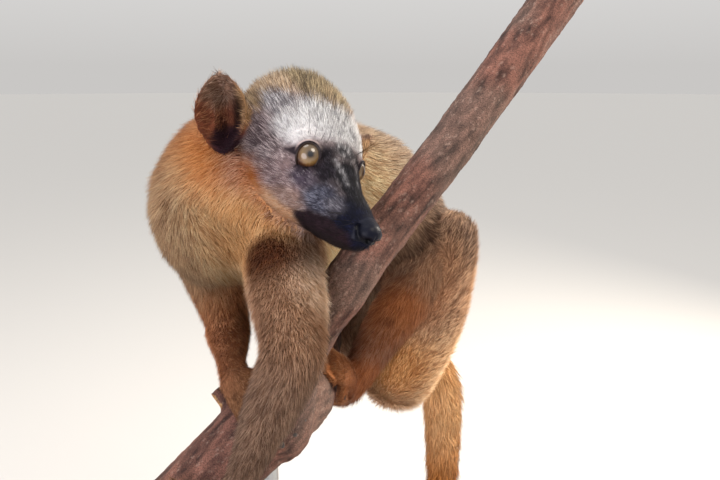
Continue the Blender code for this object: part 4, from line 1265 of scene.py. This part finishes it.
# %% Wet rims of the lids
# The bare edge of a lid is black and moist, so it draws a dark line with a soft gloss.
rim_finish, tree, shader = new_material("black moist rim of the lids")
fill(tree, shader, {"Base Color": "#21140f", "Roughness": 0.45, "Specular IOR Level": 0.25})
RIM_STEPS, RIM_WIRE, RIM_OUT, RIM_TOP = 96, 0.052, 0.03, 0.3
for name, side in SIDES:
    bpy.ops.object.select_all(action="DESELECT")
    bpy.ops.mesh.primitive_torus_add(major_segments=RIM_STEPS, minor_segments=10,
                                     major_radius=1.0, minor_radius=RIM_WIRE)
    lash = bpy.context.object
    lash.name = f"lid_rim_{name}"
    own = points_of(lash)
    flat = np.linalg.norm(own[:, :2], axis=1)
    spoke = own[:, :2] / flat[:, None]
    thicker = 1 + RIM_TOP * step_up(-0.1, 0.6, spoke[:, 1])
    angle = rim_angle(spoke) + (flat - 1.0) / EYE_RADIUS * thicker
    rows = on_ball(spoke, angle, EYE_RADIUS + RIM_OUT + own[:, 2] * thicker)
    move_points(lash, from_head(rows @ eye_axes(side) + eye_place(side)))
    edit_all(lash, (bpy.ops.mesh.normals_make_consistent, {"inside": False}))
    bpy.ops.object.shade_smooth()
    dress(lash, rim_finish)
print("two lid rims")

# %% [markdown]
# ## Bark
# The branch is a smooth young trunk with thin, finely cracked bark. The solid is remeshed fine,
# and its points are pushed in and out by noise that is stretched along the grain, which gives
# shallow furrows that still show at the outline. Colour changes slowly from reddish brown to
# grey, with pale specks the size of coarse sand. The cut ends show the rings of the wood.

# %% The grain of the branch
LIMB = [(-5, -8.2, 41.8), (-4, -8.3, 45.6), (-2.5, -8, 48.5), (-1.1, -7.9, 50.3),
        (0.5, -7.3, 52.6), (5.4, -4.95, 58.5), (12.7, -0.7, 67.8)]
LIMB_FOOT = 0.448
BARK_VOXEL = 0.0014
bark = placed("bark", nodes["perch_branch"].data.copy())
edit_all(bark, MERGE)
apply_modifier(bark, "REMESH", mode="VOXEL", voxel_size=BARK_VOXEL)
apply_modifier(bark, "SMOOTH", factor=0.5, iterations=8)
wood = points_of(bark)
wood_normal = points_of(bark, "normal")
grain = follow(wood / CM, STEM)[1]
on_limb = wood[:, 2] > LIMB_FOOT
grain[on_limb] = follow(wood / CM, LIMB)[1][on_limb]
grain = unit(even_out(grain, grid(bark.data.edges, "vertices", 2, np.int32), 20))
print("bark", len(wood), "points")


# %% Furrows, cracks and colour
def along_grain(points, way, size, stretch, seed):
    """Noise drawn out along the grain, averaged from a few samples up and down it."""
    reach = size * stretch * np.linspace(-1, 1, 7)
    return np.mean([drift(points + way * step, size, seed) for step in reach], axis=0)


RING = 0.42
furrow = along_grain(wood, grain, 0.0030, 1.6, 41)
crack = along_grain(wood, grain, 0.0015, 2.0, 42)
lump = drift(wood, 0.016, 43)
height = 0.9 * (lump - 0.5) + 1.5 * (furrow - 0.5) + 1.3 * (np.abs(crack - 0.5) * 2 - 0.3)
ends = np.abs((wood_normal * grain).sum(1)) > 0.8
height[ends] = 0
wood = wood + wood_normal * (height * 0.75 * MM - 0.2 * MM)[:, None]
move_points(bark, wood)
bpy.ops.object.shade_smooth()
tone = np.clip(0.55 + 1.7 * (furrow - 0.5) + 1.5 * (crack - 0.5), 0, 1)[:, None]
grey = step_up(0.45, 0.75, drift(wood, 0.030, 44))[:, None] * 0.65
fleck = step_up(0.72, 0.92, drift(wood, 0.0013, 45))[:, None] * 0.4
bark_colour = blend(linear("#2c1a16"), linear("#7c5447"), tone)
bark_colour = blend(bark_colour, linear("#6d5a50") * (0.4 + tone * 0.6), grey)
bark_colour = blend(bark_colour, linear("#a58c7e"), fleck)
from_pith = follow(wood / CM, STEM, LIMB, ends=(-np.inf, np.inf))[0]
ring = 0.5 + 0.5 * np.cos(2 * math.pi * from_pith / RING)
bark_colour[ends] = blend(linear("#a8845a"), linear("#8a6540"), ring[:, None])[ends]
paint(bark, "bark_colour", bark_colour)
print("cut ends", int(ends.sum()), "points")

# %% The finish of the bark
# Young bark is dry and dull, and its grit breaks the colour into specks.
bark_finish, tree, shader = new_material("thin cracked bark, reddish brown")
coords = add_node(tree, "ShaderNodeTexCoord")
colour = add_node(tree, "ShaderNodeAttribute", {"attribute_name": "bark_colour"})
GRIT = 1 / (0.7 * MM)
grit = add_node(tree, "ShaderNodeTexNoise", None,
                {"Vector": coords.outputs["Object"], "Scale": GRIT, "Detail": 4.0, "Roughness": 0.7})
spread = add_node(tree, "ShaderNodeMapRange", None,
                  {"Value": grit.outputs["Fac"], "From Min": 0.3, "From Max": 0.7,
                   "To Min": 0.25, "To Max": 1.75})
tint = add_node(tree, "ShaderNodeVectorMath", {"operation": "SCALE"},
                {0: colour.outputs["Color"], "Scale": spread.outputs["Result"]})
rough = add_node(tree, "ShaderNodeBump", None,
                 {"Strength": 0.8, "Distance": 0.6 * MM, "Height": grit.outputs["Fac"]})
fill(tree, shader, {"Base Color": tint.outputs["Vector"], "Normal": rough.outputs["Normal"],
                    "Roughness": 0.82, "Specular IOR Level": 0.3})
dress(bark, bark_finish)
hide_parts("perch_branch")
print("bark finished")

# %% [markdown]
# ## The stand
# The solids of the stand already have the right shape, so they stay and only get finishes: a
# waxed walnut board, with grain along its length, and round steel rods with turned collars.

# %% Waxed walnut
# Wax fills the wood without hiding it: a warm soft gloss, with fine open pores along the grain.
walnut, tree, shader = new_material("waxed walnut board")
coords = add_node(tree, "ShaderNodeTexCoord")
LENGTHWAYS = (0.06, 1.0, 1.0)
SWIRL, FIBRE = 1 / (22 * MM), 1 / (1.1 * MM)
stretch = add_node(tree, "ShaderNodeMapping", None,
                   {"Vector": coords.outputs["Object"], "Scale": LENGTHWAYS})
swirl = add_node(tree, "ShaderNodeTexNoise", None,
                 {"Vector": stretch.outputs["Vector"], "Scale": SWIRL, "Detail": 3.0,
                  "Distortion": 0.6})
fibre = add_node(tree, "ShaderNodeTexNoise", None,
                 {"Vector": stretch.outputs["Vector"], "Scale": FIBRE, "Detail": 3.0})
both = add_node(tree, "ShaderNodeMath", {"operation": "MULTIPLY_ADD"},
                {0: fibre.outputs["Fac"], 1: 0.35, 2: swirl.outputs["Fac"]})
ramp = add_node(tree, "ShaderNodeValToRGB", None, {"Fac": both.outputs["Value"]},
                ((0.45, "#2f1d13"), (0.85, "#6b452c")))
pores = add_node(tree, "ShaderNodeBump", None,
                 {"Strength": 0.25, "Distance": 0.2 * MM, "Height": fibre.outputs["Fac"]})
fill(tree, shader, {"Base Color": ramp.outputs["Color"], "Normal": pores.outputs["Normal"],
                    "Roughness": 0.38})
print("walnut with a coarse and a fine grain")

# %% Turned steel
# Turning leaves fine rings round a bar, so its shine is satin and drawn out across them.
steel, tree, shader = new_material("satin turned steel")
coords = add_node(tree, "ShaderNodeTexCoord")
TURNED = (1.0, 1.0, 40.0)
MARKS = 1 / (14 * MM)
stretch = add_node(tree, "ShaderNodeMapping", None,
                   {"Vector": coords.outputs["Object"], "Scale": TURNED})
marks = add_node(tree, "ShaderNodeTexNoise", None,
                 {"Vector": stretch.outputs["Vector"], "Scale": MARKS, "Detail": 2.0})
gloss = add_node(tree, "ShaderNodeMapRange", None,
                 {"Value": marks.outputs["Fac"], "To Min": 0.24, "To Max": 0.42})
fine = add_node(tree, "ShaderNodeBump", None,
                {"Strength": 0.15, "Distance": 0.1 * MM, "Height": marks.outputs["Fac"]})
fill(tree, shader, {"Base Color": "#a9abad", "Metallic": 1.0, "Normal": fine.outputs["Normal"],
                    "Roughness": gloss.outputs["Result"]})
for name in ("base", "rod_front", "rod_rear", "collar_front", "collar_rear"):
    nodes[f"stand_{name}"].data.materials.clear()
    nodes[f"stand_{name}"].data.materials.append(walnut if name == "base" else steel)
print("stand finished")
